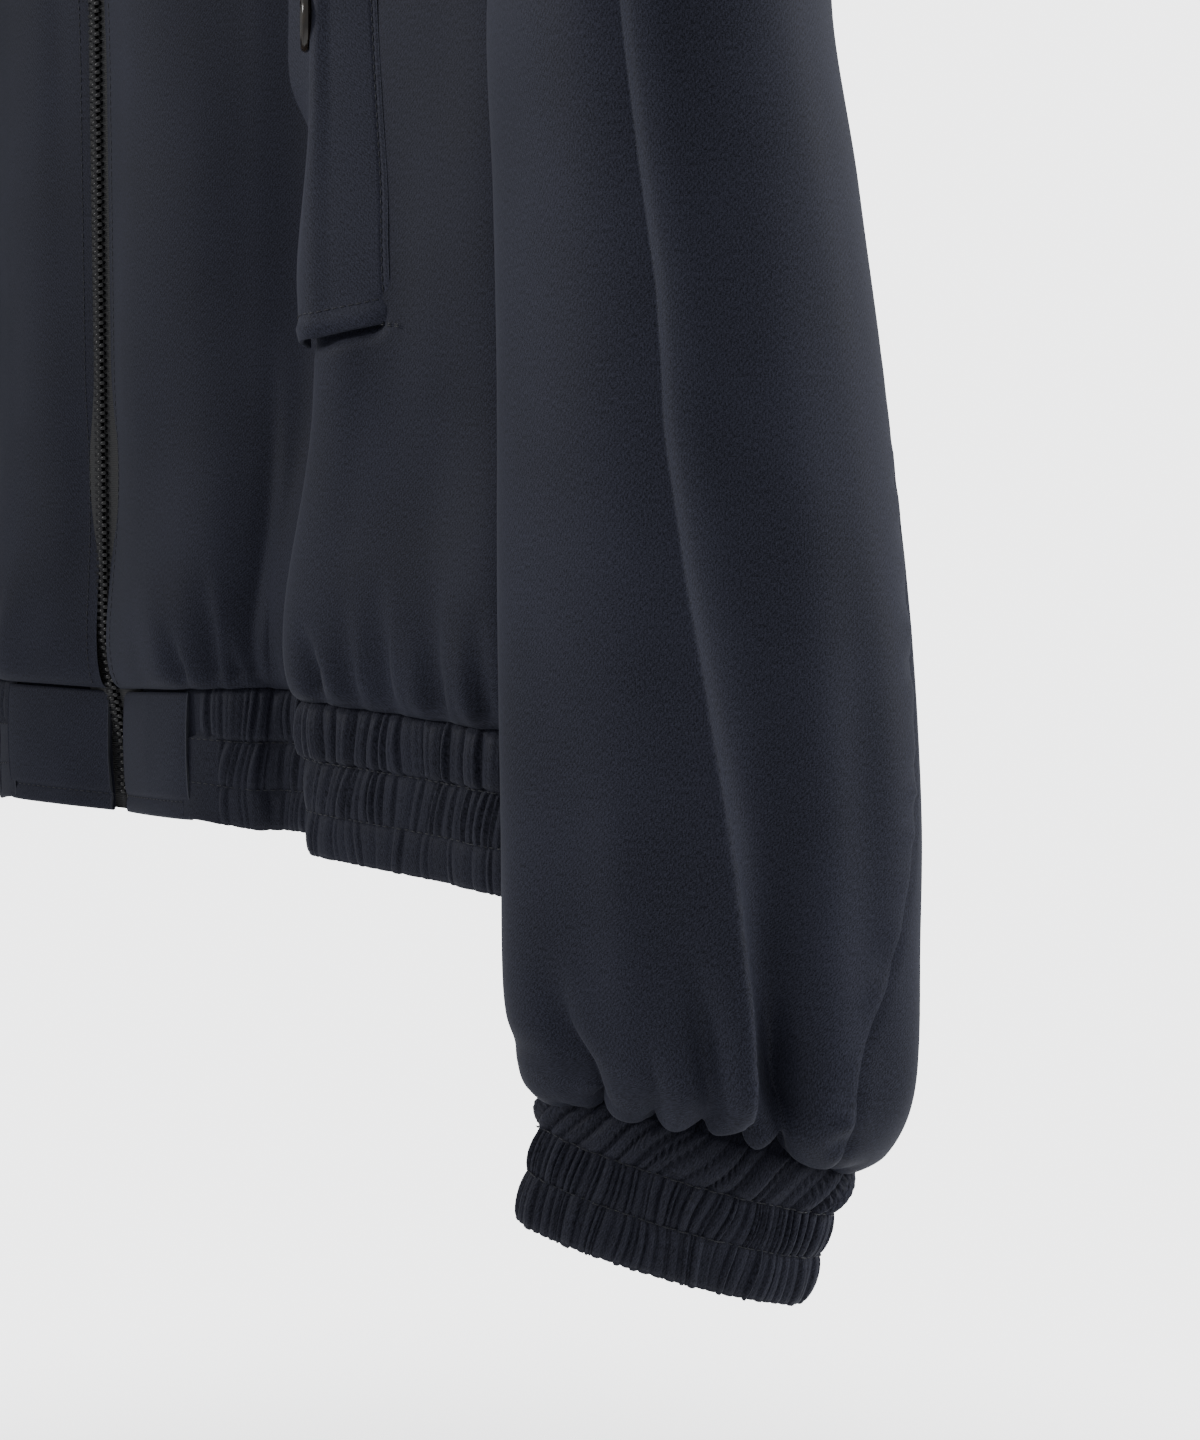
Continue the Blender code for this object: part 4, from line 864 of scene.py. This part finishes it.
def pleats(places, length, pitch, draw):
    """Unevenly spaced pleats along a line: each place's pleat, and its share of the way
    across it."""
    count = int(round(length / pitch))
    marks = np.concatenate(((0.0,), np.cumsum(draw.uniform(0.45, 1.7, count) ** 1.2)))
    at = np.interp(places, marks * length / marks[-1], np.arange(count + 1.0))
    return np.floor(at).astype(int) % count, at - np.floor(at), count


def gathered(places, heights, channels, pitches, depths, puff, slants, seed, closed):
    """How far a gathered band stands out, over places along it and shares of its height."""
    draw = np.random.RandomState(seed)
    length = places[-1]
    relief = np.zeros((len(heights), len(places)))
    for number, (low, high) in enumerate(zip(channels[:-1], channels[1:])):
        state = draw.randint(1 << 30)
        inside = (heights >= low) & (heights <= high)
        for row in np.nonzero(inside)[0]:
            share = (heights[row] - low) / (high - low)
            steady = np.random.RandomState(state)
            held = 0.45 + 0.55 * math.sin(math.pi * share) ** 0.6
            wander = 0.0009 * np.sin(places * 160.0 + number * 2.0 + share * 2.6)
            moved = places + slants[number] * (share - 0.5) + wander * np.sin(places * 37.0)
            moved = moved % length if closed else np.clip(moved, 0.0, length)
            for finer, part in ((1.0, 1.0), (0.46, 0.16)):
                which, across, count = pleats(moved, length, pitches[number] * finer, steady)
                strength = steady.uniform(0.35, 1.15, count)
                lean = steady.uniform(0.55, 1.5, count)
                bulge = 1 - np.abs(2 * across ** lean[which] - 1) ** 3.0
                relief[row] += depths[number] * part * strength[which] * bulge * held
            relief[row] += puff * math.sin(math.pi * share) ** 0.5
    return relief


def band_rows(channels, steps):
    """Shares of the height down a band, closer together at its stitch rows."""
    share = 0.5 - 0.5 * np.cos(np.pi * np.linspace(0, 1, steps + 1)[:-1])
    rows = [low + (high - low) * share for low, high in zip(channels, channels[1:])]
    return np.concatenate(rows + [(channels[-1],)])


def elastic_band(seam, out, down, height, channels, relief):
    """Grid of a doubled band: down its outer face, round its foot and up its inner face."""
    shares = band_rows(channels, 11)
    proud = relief(shares)
    tooth = np.clip(proud[-3] / 0.0012, 0.0, 1.6) * 0.0005
    drop = height - FOLD_HEIGHT
    outer = seam + down * (drop * shares[:, None, None]) + out * proud[..., None]
    round_foot = []
    for angle in np.radians((30, 60, 90, 120, 150)):
        across = (math.cos(angle) + 1) / 2
        round_foot.append(seam + down * drop + out * (proud[-1] * across
                                                      - BAND_WALL * (1 - across))[:, None]
                          + down * (math.sin(angle) * (0.0006 + tooth))[:, None])
    inner = [seam - out * BAND_WALL + down * (drop * share) for share in np.linspace(1, 0, 8)]
    allowance = [seam + out * (proud[0] - rise * 0.6)[:, None] - down * rise
                 for rise in (0.006, 0.0045, 0.003, 0.0015)]
    return np.concatenate((allowance, outer, round_foot, inner))


def stitch_row(seam, out, down, height, channel, relief):
    """The line of a stitch row that lies on a band, between two channels of its elastic."""
    proud = relief(np.array((channel,)))[0] + 0.00012
    return seam + down * ((height - FOLD_HEIGHT) * channel) + out * proud[:, None]


cuff_long = np.array((math.cos(CUFF_TURN) * math.cos(CUFF_TILT),
                      math.sin(CUFF_TURN) * math.cos(CUFF_TILT), -math.sin(CUFF_TILT)))
cuff_short = np.array((math.sin(CUFF_TURN), -math.cos(CUFF_TURN), 0.0))
cuff_down = np.cross(cuff_short, cuff_long)
cuff_down = cuff_down * (1.0 if cuff_down[2] < 0 else -1.0)


def cuff_oval(turns, long, short):
    """Points of an oval in the cuff's plane, from its middle."""
    return (np.outer(np.cos(turns), cuff_long) * long
            + np.outer(np.sin(turns), cuff_short) * short)


cuff_turns = np.linspace(0, 2 * math.pi, 4001)
cuff_line = cuff_oval(cuff_turns, CUFF_HALF_WIDTH, CUFF_HALF_DEPTH)
cuff_length = run_length(cuff_line)
cuff_places = np.linspace(0, cuff_length[-1], 901)
cuff_angle = np.interp(cuff_places, cuff_length, cuff_turns)
cuff_out = unit(cuff_oval(cuff_angle, CUFF_HALF_DEPTH, CUFF_HALF_WIDTH))
cuff_seam = (np.array(CUFF_PLACE) - cuff_down * 0.0022
             + cuff_oval(cuff_angle, CUFF_HALF_WIDTH, CUFF_HALF_DEPTH) - cuff_out * 0.0014)
gathered_finish = twill("navy twill, gathered", (0.007, 0.0074, 0.0118),
                        (0.039, 0.041, 0.061), 0.58)
cuff_stitches = []
for side, seed, turn in (("left", 51, 1.0), ("right", 52, -1.0)):
    def cuff_relief(shares, seed=seed):
        """Gathers of one cuff at shares of its height."""
        return gathered(cuff_places, shares, CUFF_CHANNELS, (0.0044, 0.002, 0.0021),
                        (0.0034, 0.002, 0.0016), 0.0006, (-0.0085, -0.0006, 0.0008), seed, True)

    cuff_grid = elastic_band(cuff_seam, cuff_out, cuff_down, CUFF_HEIGHT, CUFF_CHANNELS,
                             cuff_relief)[:, :-1] * (turn, 1, 1)
    cuff_core = (np.array(CUFF_PLACE) + cuff_down * 0.018) * (turn, 1, 1)
    cuff_map_grid = np.stack(np.meshgrid(cuff_places[:-1] * 1.45,
                                         np.arange(len(cuff_grid)) * 0.0011), -1)
    cuff = cloth_object("cuff_%s_cloth" % side, cuff_grid, cuff_map_grid, cuff_core,
                        round_it=True, over_it=True)
    sew_on(cuff, gathered_finish, "cuff_" + side, "elastic_cloth", flat=(0.270, 0.038),
           held="gathered", rests_on=[])
    cuff_stitches += [stitch_row(cuff_seam, cuff_out, cuff_down, CUFF_HEIGHT, channel, cuff_relief)
                      * (turn, 1, 1) for channel in CUFF_CHANNELS[1:3]]


# Hem band and tabs. The elastic band runs round the back from one flat tab to the other, made
# as the cuffs are. The tabs are doubled cloth, topstitched near the foot, on each side of the zip.
HEM_HEIGHT, TAB_HEIGHT, TAB_WALL, TAB_SHARE = 0.0458, 0.0428, 0.0024, 2 / 12
BAND_CHANNELS = (0.0, 0.37, 0.72, 1.0)
# The band's ends are sewn inside the tabs
BAND_SHARE, INSIDE_TAB = TAB_SHARE - 0.012, 0.0037
half_hem = np.concatenate((through(FRONT_PLAN, np.linspace(BAND_SHARE, 1, 1501))[:-1, :3],
                           through(BACK_PLAN, np.linspace(1, 0, 1501))[:, :3]))
hem_line = np.concatenate((half_hem, half_hem[-2::-1] * (-1, 1, 1)))
hem_length = run_length(hem_line)
# Columns stand closer together over the left front, where the gathers are seen from near
hem_places = np.append(spaced((0.0003, 0.235, hem_length[-1] - 0.0003), (619, 1049)),
                       hem_length[-1] - 0.0003)


def along_hem(places):
    """Points on the hem seam at distances from the left tab."""
    return np.stack([np.interp(places, hem_length, hem_line[:, axis]) for axis in range(3)], -1)


hem_way = along_hem(hem_places + 0.003) - along_hem(hem_places - 0.003)
hem_out = unit(np.stack((hem_way[:, 1], -hem_way[:, 0], 0 * hem_places), -1))
hem_seam = along_hem(hem_places) - hem_out * SEAM_DEPTH
hem_down = np.array((0.0, 0.0, -1.0))


from_tab = np.minimum(hem_places, hem_length[-1] - hem_places) - INSIDE_TAB


def band_relief(shares):
    """Gathers of the hem band at shares of its height, dying out at the tab seams."""
    near = gathered(hem_places, shares, BAND_CHANNELS, (0.0046, 0.0034, 0.0048),
                    (0.0024, 0.0021, 0.001), 0.0006, (0.0006, 0.0034, 0.0004), 61, False)
    lower = smooth(shares, 0.3, 0.37)[:, None]
    ends = smooth(from_tab, 0.002, 0.01) * (1 - lower * (1 - smooth(from_tab, 0.0118, 0.0135)))
    return near * ends + 0.0012 * (1 - smooth(from_tab, 0.0118, 0.0132 - 0.004 * (1 - lower)))


hem_heights = HEM_HEIGHT - 0.0034 * (1 - smooth(from_tab[:, None], -0.002, 0.03))
band_grid = elastic_band(hem_seam, hem_out, hem_down, hem_heights, BAND_CHANNELS, band_relief)
band_map = np.stack(np.meshgrid(hem_places * 1.4, np.arange(len(band_grid)) * 0.0013), -1)
band = cloth_object("hem_band_cloth", band_grid, band_map, body_inside(band_grid), over_it=True)
sew_on(band, gathered_finish, "hem_band", "elastic_cloth", flat=(1.300, 0.045),
       held="gathered", rests_on=[])
band_stitches = [stitch_row(hem_seam, hem_out, hem_down, hem_heights, channel, band_relief)
                 for channel in BAND_CHANNELS[1:3]]

tab_share = np.linspace(0.0, TAB_SHARE, 60)
tab_top = through(FRONT_PLAN, tab_share)[:, :3]
tab_climbs = np.linspace(0, 1, 36)[:, None, None]
tab_line = 0.0008 * hump(tab_climbs * TAB_HEIGHT - 0.038, 0.0011)
tab_swell = 0.0011 * np.sin(np.pi * np.minimum(tab_climbs / 0.88, 1.0)) ** 0.6 - tab_line
tab_outer = tab_top[None] + tab_climbs * (0, 0, -TAB_HEIGHT + TAB_WALL / 2)
tab_outer = tab_outer + tab_swell * (0, -1, 0)
tab_grid = folded_rows(tab_outer, TAB_WALL, body_inside(tab_outer))
tab_stitches = []
SIDES = (("left", 1.0), ("right", -1.0))
for side, turn in SIDES:
    tab = cloth_object("hem_tab_%s_cloth" % side, tab_grid * (turn, 1, 1),
                       cloth_map(tab_grid), body_inside(tab_grid), over_it=True)
    sew_on(tab, cloth_finish, "hem_tab_" + side, flat=(0.055, 0.044), held="stretched",
           rests_on=[])
    tab_stitches.append((tab_outer[31] + (0, -0.0002, 0)) * (turn, 1, 1))


# Pocket flaps. Doubled cloth sewn down along the side away from the zip, lying over the body's
# deep fold and turning back round it to a free edge. Each closes with a dark horn-like button.
FLAP_TOP_Z, FLAP_FOOT_Z, FLAP_WALL = -0.369, -0.5684, 0.0016
# How far its stitch rows run from its foot and from its sewn side, and its width
FLAP_HEM, FLAP_EDGE, FLAP_WIDTH = 0.0058, 0.0052, 0.058
FLAP_ROWS = np.array((
    # Millimetres, from the foot up: x and y of the sewn side, crest, hollow and free edge
    (172.6, -81.2, 144.8, -88.8, 136, -83.8, 127.5, -74),
    (171.9, -81.2, 144.7, -88.7, 135.2, -84, 127.2, -76.5),
    (171.4, -81.1, 144.8, -88.3, 135.6, -82.3, 128, -75),
    (170.2, -81, 146.2, -88, 136.5, -79, 128.5, -71.5),
    (169.1, -80.9, 146.6, -87.6, 134.5, -76.8, 120.3, -73.5),
    (168.2, -80.8, 147.6, -87.3, 134, -76.5, 120, -74),
    (167.8, -80.5, 147.6, -87, 134, -77, 120.5, -74),
    (167.6, -80, 147.2, -86, 134.5, -78.5, 121.5, -75),
    (167.6, -79.1, 146.8, -84.3, 135, -79, 123, -76.5),
    (167.9, -78.2, 146.8, -82.6, 135, -79.5, 124, -77.2),
    (168.5, -77.5, 146.8, -80.8, 135, -79.5, 125, -78),
)) / 1000
BUTTON_PLACE, BUTTON_FACING = (0.142, -0.0832, -0.476), (-0.6, -0.8, 0.0)
BUTTON_RADIUS = 0.009
HOLE_PLACE, HOLE_RADIUS = 0.0016, 0.0009
# Button outline as shares of its radius and millimetres of height, from its back to its dish
BUTTON_OUTLINE = ((0.8, 0.0), (0.93, 0.3), (1.0, 0.95), (1.0, 1.75), (0.96, 2.45),
                  (0.88, 2.85), (0.79, 2.8), (0.72, 2.45), (0.64, 1.85), (0.55, 1.6))

flap_climb = np.linspace(0, 1, 120)
flap_across = np.linspace(0, 1, 64)
flap_line = through(FLAP_ROWS, flap_climb)
flap_z = FLAP_FOOT_Z + (FLAP_TOP_Z - FLAP_FOOT_Z) * flap_climb


def evened(values):
    """Values averaged over nine neighbours."""
    return np.convolve(np.pad(values, 4, "edge"), np.ones(9) / 9, "valid")


# Its sewn side lies on the front as that is draped
front_points = front_left_grid[3:].reshape(-1, 3)
for row, z in zip(flap_line, flap_z):
    nearest = np.argsort(np.hypot(front_points[:, 0] - row[0], front_points[:, 2] - z))[:4]
    row[1] = front_points[nearest, 1].mean() - 0.0001
flap_line[:, 1] = evened(flap_line[:, 1])
sewn, crest, hollow, free = [flap_line[:, pair:pair + 2] for pair in (0, 2, 4, 6)]
beside = sewn * 0.78 + crest * 0.22 + (0.0, -0.0004)
over = crest * 0.55 + beside * 0.45 + (0.0, -0.0004)
flap_controls = np.stack((sewn, beside, over, crest, hollow, free), 0)
flap_plan = through(flap_controls, flap_across).transpose(1, 0, 2)
flap_outer = np.concatenate((flap_plan, np.repeat(flap_z[:, None, None], 64, 1)), -1)
flap_outer = flap_outer[:, ::-1]
flap_out = normals_of(flap_outer, body_inside(flap_outer))
from_sewn = np.linspace(0, FLAP_WIDTH, 64)[None, ::-1]
above_foot = (flap_z - FLAP_FOOT_Z)[:, None]
flap_outer[..., 2] += 0.0042 * np.exp(-above_foot / 0.05) * np.maximum(1 - from_sewn / 0.03, 0)
swell = 0.0009 * hump(above_foot - 0.0036, 0.003) * smooth(from_sewn, 0.0, 0.006)
groove = (0.0008 * hump(above_foot - FLAP_HEM, 0.0009) * smooth(from_sewn, 0.003, 0.004)
          + 0.0004 * hump(from_sewn - FLAP_EDGE, 0.0008)
          * smooth(above_foot, FLAP_HEM - 0.001, FLAP_HEM))
flap_wave = 0.0005 * soft_noise(flap_outer[..., 0], flap_outer[..., 2], 0.05, 71)
flap_outer = flap_outer + flap_out * (swell - groove + flap_wave)[..., None]
# The sewn corner is drawn down to the front at the foot
drawn = smooth(0.012 - above_foot, 0, 0.012) * smooth(0.016 - from_sewn, 0, 0.016)
flap_outer[..., 1] += 0.0016 * drawn
flap_grid = folded_rows(flap_outer[::-1], FLAP_WALL, body_inside(flap_outer[::-1]))
flap_map = cloth_map(flap_grid)
edge_column = 63 - int(round(63 * FLAP_EDGE / FLAP_WIDTH))
hem_row = int(np.searchsorted(flap_z - FLAP_FOOT_Z, FLAP_HEM))
stitch_face = flap_outer + flap_out * 0.00015
flap_stitches = [stitch_face[hem_row:, edge_column], stitch_face[hem_row, 2:edge_column + 1]]
bar_place = np.linspace((0.1657, -0.565), (0.1753, -0.5666), 12)
bar_near = np.argmin(np.hypot(front_points[:, 0] - bar_place[:, :1],
                              front_points[:, 2] - bar_place[:, 1:]), axis=1)
bar_line = np.stack((bar_place[:, 0], front_points[bar_near, 1].min() + 0 * bar_place[:, 0],
                     bar_place[:, 1]), -1)
bar_tack = [bar_line + (0, -0.0002, 0), bar_line + (0, -0.0002, -0.0006)]


def streaks(start, scale, detail, distortion=0.0, stretch=(1.0, 1.0, 1.0)):
    """Noise over the piece's own place, drawn out along some of its axes."""
    place = start.node("ShaderNodeTexCoord", output=3) * Vector(stretch)
    return start.node("ShaderNodeTexNoise", (), {"Vector": place, "Scale": scale,
                                                 "Detail": detail, "Distortion": distortion})


def toned(streak, shader, *stops):
    """Colours a shader by streaks, through tones at their marks."""
    ramp = {"stops": [(mark, (*colour, 1.0)) for mark, colour in stops]}
    streak.node("ShaderNodeValToRGB", ramp, {"Fac": streak}).into(shader, "Base Color")


horn_finish, shader, start = new_material("dark horn button", (0.01, 0.0085, 0.008), 0.16,
                                          {"Specular IOR Level": 0.6})
toned(streaks(start, 130.0, 4.0, 1.4), shader, (0.4, (0.008, 0.0065, 0.006)),
      (0.62, (0.022, 0.015, 0.01)), (0.74, (0.055, 0.038, 0.024)))


def turned_button(name, place, facing):
    """A turned button with four holes drilled through its dish."""
    facing = Vector(facing).normalized()
    side = facing.cross(Vector((0, 0, 1))).normalized()
    upward = side.cross(facing)
    form = bmesh.new()

    def tube(middle, sizes, count):
        """Rings of points round one line, joined by faces: its first and last ring."""
        rings = [[form.verts.new(middle + facing * (height / 1000)
                                 + (side * math.cos(turn) + upward * math.sin(turn)) * radius)
                  for turn in np.linspace(0, 2 * math.pi, count + 1)[:-1]]
                 for radius, height in sizes]
        for ring, following in zip(rings, rings[1:]):
            for number in range(count):
                after = (number + 1) % count
                form.faces.new((ring[number], ring[after], following[after], following[number]))
        return rings[0], rings[-1]

    tubes = [tube(Vector(place), [(share * BUTTON_RADIUS, height)
                                  for share, height in BUTTON_OUTLINE], 48)]
    for across, high in ((1, 1), (-1, 1), (-1, -1), (1, -1)):
        tubes.append(tube(Vector(place) + (side * across + upward * high) * HOLE_PLACE,
                          [(HOLE_RADIUS, BUTTON_OUTLINE[end][1]) for end in (0, -1)], 16))
    for end, way in ((0, -1), (1, 1)):
        borders = [form.edges.get((tube_ends[end][number - 1], tube_ends[end][number]))
                   for tube_ends in tubes for number in range(len(tube_ends[end]))]
        bmesh.ops.triangle_fill(form, edges=borders, use_beauty=True, normal=facing * way)
    bmesh.ops.recalc_face_normals(form, faces=form.faces)
    mesh = bpy.data.meshes.new(name)
    form.to_mesh(mesh)
    form.free()
    mesh.shade_smooth()
    mesh.set_sharp_from_angle(angle=math.radians(42))
    return placed(name, mesh)


# The flaps are the fronts' twill in a lighter tone: painted light standing in for the extra light
# they catch
lit_flap_finish = twill("navy twill, flaps painted lighter", (0.0066, 0.0072, 0.012), (0.0465, 0.0495, 0.0755))
for side, turn in SIDES:
    flap = cloth_object("pocket_flap_%s_cloth" % side, flap_grid * (turn, 1, 1), flap_map,
                        body_inside(flap_grid), over_it=True)
    sew_on(flap, lit_flap_finish, "pocket_flap_" + side, flat=(0.062, 0.200), held="hung",
           rests_on=["front_%s" % side])
    button = turned_button("flap_button_%s_horn" % side, np.array(BUTTON_PLACE) * (turn, 1, 1),
                           np.array(BUTTON_FACING) * (turn, 1, 1))
    sew_on(button, horn_finish, "flap_button_" + side, "button")


# Zip. Woven tapes sewn behind the front edges, moulded teeth closed from the foot to the slider,
# and the metal slider with its pull tab, which stay as the solids made them.
TAPE_WIDTH, TAPE_THICK, TAPE_BEHIND = 0.016, 0.0008, 0.0034
TOOTH_PITCH, TOOTH_SIZE = 0.0026, (0.0036, 0.0016, 0.0012)
TEETH_TOP_Z, ZIP_FOOT_Z = -0.1752, -0.7195
zip_z = np.append(spaced((NECK_FRONT_Z, ARMPIT_Z, FRONT_PLAN[0, 2], ZIP_FOOT_Z), (39, 59, 11)),
                  ZIP_FOOT_Z)
edge_line = front_base[:, 0]
edge_y = np.interp(-zip_z, -edge_line[:, 2], edge_line[:, 1])
edge_y = np.where(zip_z < FRONT_PLAN[0, 2], FRONT_PLAN[0, 1], edge_y)
edge_y = evened(edge_y)
tape_x = np.array((0.00015, 0.002, 0.006, 0.011, 0.0158, TAPE_WIDTH))
tape_y = np.array((0.0, -0.0002, 0.0, 0.0, 0.0, 0.0003))
tape_face = np.stack((tape_x[:, None] + 0 * zip_z, edge_y[None] + TAPE_BEHIND + tape_y[:, None],
                      zip_z[None] + 0 * tape_x[:, None]), -1)
tape_grid = np.concatenate((tape_face, tape_face[::-1] + (0.0, TAPE_THICK, 0.0)))
tape_finish, shader, start = new_material("zip tape", (0.006, 0.0065, 0.0095), 0.75,
                                          {"Sheen Weight": 0.2})
place = start.node("ShaderNodeTexCoord", output=3)
ribs = start.node("ShaderNodeTexWave", {"bands_direction": "Z"},
                  {"Vector": place, "Scale": 420.0, "Distortion": 0.6}, 1)
start.bump(0.6, 0.0002, ribs).into(shader, "Normal")
tooth_finish, _, _ = new_material("moulded teeth", (0.008, 0.008, 0.01), 0.32,
                                  {"Specular IOR Level": 0.55})
metal_finish, shader, start = new_material("dark nickel", (0.24, 0.24, 0.25), 0.3,
                                           {"Metallic": 1.0})
(streaks(start, 300.0, 4.0) * 0.22 + 0.18).into(shader, "Roughness")


def line_object(name, lines):
    """A mesh of edges alone, one run for each line of points."""
    points, edges = [], []
    for line in lines:
        first = len(points)
        points += [tuple(point) for point in line]
        edges += [(number, number + 1) for number in range(first, len(points) - 1)]
    mesh = bpy.data.meshes.new(name)
    mesh.from_pydata(points, edges, [])
    return placed(name, mesh)


def repeat_tree(name, form_kind, material):
    """A node group that sets one small form at even steps along every line it is given."""
    group = bpy.data.node_groups.new(name, "GeometryNodeTree")

    def asked(label, kind, way="INPUT"):
        """One of the group's own sockets."""
        return group.interface.new_socket(label, in_out=way, socket_type="NodeSocket" + kind)

    asked("Geometry", "Geometry")
    step, size = asked("Step", "Float"), asked("Size", "Vector")
    asked("Geometry", "Geometry", "OUTPUT")
    given, result, curve_of, evenly, tangent, align, form, set_out, real, painted = [
        group.nodes.new(kind) for kind in (
            "NodeGroupInput", "NodeGroupOutput", "GeometryNodeMeshToCurve",
            "GeometryNodeResampleCurve", "GeometryNodeInputTangent",
            "FunctionNodeAlignRotationToVector", form_kind, "GeometryNodeInstanceOnPoints",
            "GeometryNodeRealizeInstances", "GeometryNodeSetMaterial")]
    evenly.mode = "LENGTH"
    align.axis = "Z"
    if form_kind == "GeometryNodeMeshUVSphere":
        for socket, value in (("Segments", 6), ("Rings", 4), ("Radius", 0.5)):
            form.inputs[socket].default_value = value
    painted.inputs["Material"].default_value = material
    for source, out, node, socket in (
            (given, "Geometry", curve_of, "Mesh"), (curve_of, "Curve", evenly, "Curve"),
            (given, "Step", evenly, "Length"), (tangent, "Tangent", align, "Vector"),
            (evenly, "Curve", set_out, "Points"), (form, "Mesh", set_out, "Instance"),
            (align, "Rotation", set_out, "Rotation"), (given, "Size", set_out, "Scale"),
            (set_out, "Instances", real, "Geometry"), (real, "Geometry", painted, "Geometry"),
            (painted, "Geometry", result, "Geometry")):
        group.links.new(source.outputs[out], node.inputs[socket])
    return group, step.identifier, size.identifier


def repeated(name, lines, tree, step, size):
    """One joined mesh of small forms set along lines."""
    carrier = line_object(name + " lines", lines)
    modifier = carrier.modifiers.new("along", "NODES")
    modifier.node_group, step_id, size_id = tree
    modifier[step_id], modifier[size_id] = step, size
    carrier.update_tag()
    seen = carrier.evaluated_get(bpy.context.evaluated_depsgraph_get())
    mesh = bpy.data.meshes.new_from_object(seen)
    carrier.modifiers.remove(modifier)
    bpy.data.objects.remove(carrier)
    mesh.name = name
    mesh.shade_smooth()
    return placed(name, mesh)


for side, turn in SIDES:
    tape = cloth_object("zip_tape_%s_weave" % side, tape_grid * (turn, 1, 1),
                        cloth_map(tape_grid), tape_grid.mean((0, 1)) * (turn, 1, 1), over_it=True)
    sew_on(tape, tape_finish, "zip_tape_" + side, "zip_tape")

teeth_y = edge_y + TAPE_BEHIND - 0.001
shut = (zip_z < TEETH_TOP_Z) & (zip_z > ZIP_FOOT_Z + 0.004)
tooth_lines = [np.stack((aside + 0 * teeth_y[shut], teeth_y[shut], zip_z[shut] - offset), -1)
               for offset, aside in ((0, 0.0011), (TOOTH_PITCH / 2, -0.0011))]
tooth_tree = repeat_tree("teeth along a line", "GeometryNodeMeshCube", tooth_finish)
teeth = repeated("zip_teeth", tooth_lines, tooth_tree, TOOTH_PITCH, TOOTH_SIZE)
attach(teeth, "jacket")


def paint(node, finish):
    """Gives a node that stays as its solid its own finish."""
    for held_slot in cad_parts[node].material_slots:
        held_slot.material = finish


for node in ("zip_slider", "zip_pull_tab"):
    paint(node, metal_finish)


# Stitches. Single rows of thread, in the cloth's own colour: two round each cuff and the hem
# band, one round the flaps, along the tabs' feet, down the front edges and round the collar.
STITCH_STEP, STITCH_SIZE = 0.0027, (0.00034, 0.00034, 0.0021)
thread_finish, _, _ = new_material("navy thread", (0.011, 0.012, 0.019), 0.5,
                                   {"Sheen Weight": 0.1})
thread_tree = repeat_tree("stitches along a line", "GeometryNodeMeshUVSphere", thread_finish)
edge_rows = [grid[6:-3, 3] + (0, -0.0001, 0) for grid in (front_left_grid, front_right_grid)]
collar_row = collar_outer[-4, 3:-3] + collar_out[0, 3:-3] * 0.0001
mirrored = [line * (-1, 1, 1) for line in flap_stitches + bar_tack]
for name, lines in (("cuff_stitches", cuff_stitches), ("band_stitches", band_stitches),
                    ("tab_stitches", tab_stitches), ("front_stitches", edge_rows),
                    ("flap_stitches", flap_stitches + bar_tack + mirrored),
                    ("collar_stitches", [collar_row])):
    thread = repeated(name, lines, thread_tree, STITCH_STEP, STITCH_SIZE)
    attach(thread, "jacket")


# Hanger. A shaped beech bar under the shoulders and a bent wire hook, which stay as the solids
# made them, with grain along the bar and a drawn finish on the wire.
wood_finish, shader, start = new_material("beech", (0.42, 0.27, 0.15), 0.42,
                                          {"Coat Weight": 0.25, "Coat Roughness": 0.2})
grain = streaks(start, 1.0, 6.0, 0.4, (9.0, 160.0, 160.0))
toned(grain, shader, (0.3, (0.3, 0.175, 0.085)), (0.55, (0.44, 0.285, 0.155)),
      (0.75, (0.52, 0.36, 0.21)))
start.bump(0.25, 0.0003, grain).into(shader, "Normal")
wire_finish, shader, start = new_material("bright wire", (0.6, 0.6, 0.6), 0.28,
                                          {"Metallic": 1.0})
(streaks(start, 420.0, 3.0) * 0.2 + 0.16).into(shader, "Roughness")
paint("hanger_bar", wood_finish)
paint("hanger_hook", wire_finish)
